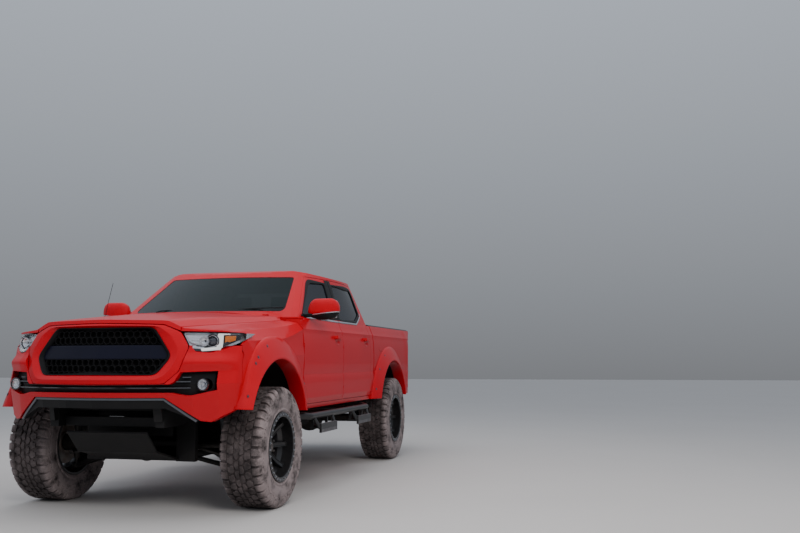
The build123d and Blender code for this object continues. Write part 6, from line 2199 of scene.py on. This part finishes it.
@dataclass
class Studio:
    """Pale floor, soft lights and the photograph's camera."""

    place: Point = (3.342, -7.722, 1.037)
    yaw: float = 14.155
    pitch: float = 6.1375
    roll: float = -0.115
    lens: float = 39.3

    def build(self) -> None:
        """Make floor, lights and camera."""
        self.floor()
        self.lights()
        self.camera()

    def floor(self) -> None:
        """Pale floor far past the view."""
        clear()
        bpy.ops.mesh.primitive_plane_add(size=80, location=(0, 0, 0))
        floor = settle(bpy.context.object, "studio_floor")
        material, wire, shader = blank("Pale floor")
        place = wire.add("ShaderNodeTexCoord").outputs["Object"]
        colour = wire.mix(wire.noise(0.6, place), (0.46, 0.44, 0.425, 1), (0.50, 0.48, 0.465, 1))
        wire.feed(shader, {"Base Color": colour, "Roughness": 0.9})
        floor.data.materials.append(material)

    def lights(self) -> None:
        """A pale sky, a wide panel overhead and two soft side panels."""
        world = bpy.data.worlds.new("Studio sky")
        bpy.context.scene.world = world
        world.use_nodes = True
        wire = Wiring(world.node_tree)
        direction = wire.add("ShaderNodeTexCoord").outputs["Generated"]
        height = wire.add("ShaderNodeSeparateXYZ", {0: direction}).outputs["Z"]
        sky = wire.mix(wire.between(height, -0.02, 0.6), (0.27, 0.28, 0.30, 1), (0.80, 0.88, 1.0, 1))
        wire.feed(world.node_tree.nodes["Background"], {"Color": sky, "Strength": 0.75})
        panels = (
            ("overhead", (0.4, -0.6, 6.0), (0, 0, 0), 5.0, 9.0, 260.0, (1.0, 0.97, 0.95)),
            ("key", (5.5, -7.0, 5.0), (0.2, -0.8, 0.8), 3.5, 3.5, 420.0, (1.0, 0.96, 0.92)),
            ("fill", (-6.5, -6.0, 3.5), (0, -1.0, 0.8), 4.0, 3.0, 130.0, (0.92, 0.96, 1.0)),
        )
        for name, place, target, width, depth, power, colour in panels:
            clear()
            bpy.ops.object.light_add(type="AREA", location=place)
            lamp = bpy.context.object
            lamp.name = "light_" + name
            lamp.data.shape = "RECTANGLE"
            lamp.data.size, lamp.data.size_y = width, depth
            lamp.data.energy = power
            lamp.data.color = colour
            lamp.visible_glossy = False
            way = Vector(target) - Vector(place)
            lamp.rotation_euler = way.to_track_quat("-Z", "Y").to_euler()

    def camera(self) -> None:
        """Camera at the photograph's place."""
        yaw, pitch, roll = (math.radians(v) for v in (self.yaw, self.pitch, self.roll))
        forward = Vector((-math.sin(yaw) * math.cos(pitch), math.cos(yaw) * math.cos(pitch), math.sin(pitch)))
        level = Vector((math.cos(yaw), math.sin(yaw), 0))
        above = level.cross(forward)
        right = level * math.cos(roll) + above * math.sin(roll)
        up = above * math.cos(roll) - level * math.sin(roll)
        clear()
        bpy.ops.object.camera_add()
        camera = bpy.context.object
        camera.name = "photo_camera"
        turn = Matrix((right, up, -forward)).transposed().to_4x4()
        camera.matrix_world = Matrix.Translation(self.place) @ turn
        camera.data.sensor_width = 36.0
        camera.data.lens = self.lens
        camera.data.clip_end = 200
        bpy.context.scene.camera = camera


# Finishes of the nodes that the scene takes over, by attribute of the palette
NODE_FINISHES = {
    "chassis": ("chassis_frame", "skid_plate", "leaf_springs", "rear_bumper", "control_arms"),
    "cast": ("engine_block", "driveline", "rear_axle", "steering_rack", "knuckle_left", "knuckle_right"),
    "steel": ("exhaust",),
    "step": ("side_steps",),
    "damper": ("dampers",),
    "tank": ("fuel_tank",),
    "plastic": ("bumper_trim", "bed_rail_caps", "dashboard", "grille_mesh"),
    "window": ("glass_front_left", "glass_front_right", "glass_rear_left", "glass_rear_right"),
    "screen": ("cab_glass",),
    "lamp_red": ("tail_lamps",),
    "reflector": ("front_lamps",),
    "fabric": ("seats",),
    "paint": ("grille_surround", "mirror_left", "mirror_right", "fender_flares", "tailgate"),
    "rim": ("rim_front_left", "rim_front_right", "rim_rear_left", "rim_rear_right"),
    "tyre": ("tyre_front_left", "tyre_front_right", "tyre_rear_left", "tyre_rear_right"),
}


def dress_nodes(frame: dict, palette: Palette) -> None:
    """Give each carried-over node its procedural finish."""
    for finish, nodes in NODE_FINISHES.items():
        for node in nodes:
            mesh = frame["nodes"][node].data
            mesh.materials.clear()
            mesh.materials.append(getattr(palette, finish))


def main() -> None:
    """Build the studio and every sub-assembly in order."""
    logging.basicConfig(level=logging.INFO, format="%(message)s")
    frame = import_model()
    palette = Palette()
    Studio().build()
    dress_nodes(frame, palette)
    form = BodyForm()
    shells = [
        Shell("hood", "hood", form.front, {"x": 40, "y": 45}),
        Shell("front_fenders", "body", form.front, {"y": 45, "z": 25}),
        Shell("front_bumper", "body", form.bumper, {"x": 30, "z": 45}, 3.0, LEDGE_LINES),
        Shell("cab_shell", "body", form.side, {"z": 25, "y": 110}, 3.0, CREASE_LINES),
        Shell("bed_box", "body", form.bed, {"z": 25, "y": 60}, 3.0, CREASE_LINES),
    ]
    for place in ("front", "rear"):
        for side in ("left", "right"):
            name = f"door_{place}_{side}"
            shells.append(Shell(name, name, form.side, {"z": 20, "y": 90}, 3.0, CREASE_LINES,
                                ((HANDLE_STATIONS[place], HANDLE_HEIGHT),)))
    for shell in shells:
        shell.build(frame, palette)
    skin = NoseSkin(form)
    Grille(skin).place_all(palette)
    Headlamp(skin).place_all(palette)
    FogLamp(skin).place_all(palette)
    place_flares(palette)
    Glazing(CabinSide()).place_all(palette)
    Mirror().place_all(palette)
    Trim(skin, CabinSide()).place_all(palette)
    Underbody().place_all(palette)
    Interior().place_all(palette)
    RearEnd().place_all(palette)
    EngineBay().place_all(palette)
    DoorCard().place_all(palette)
    valance_edge(skin, palette)
    Wheel().place_all(palette)


if __name__ == "__main__":
    main()
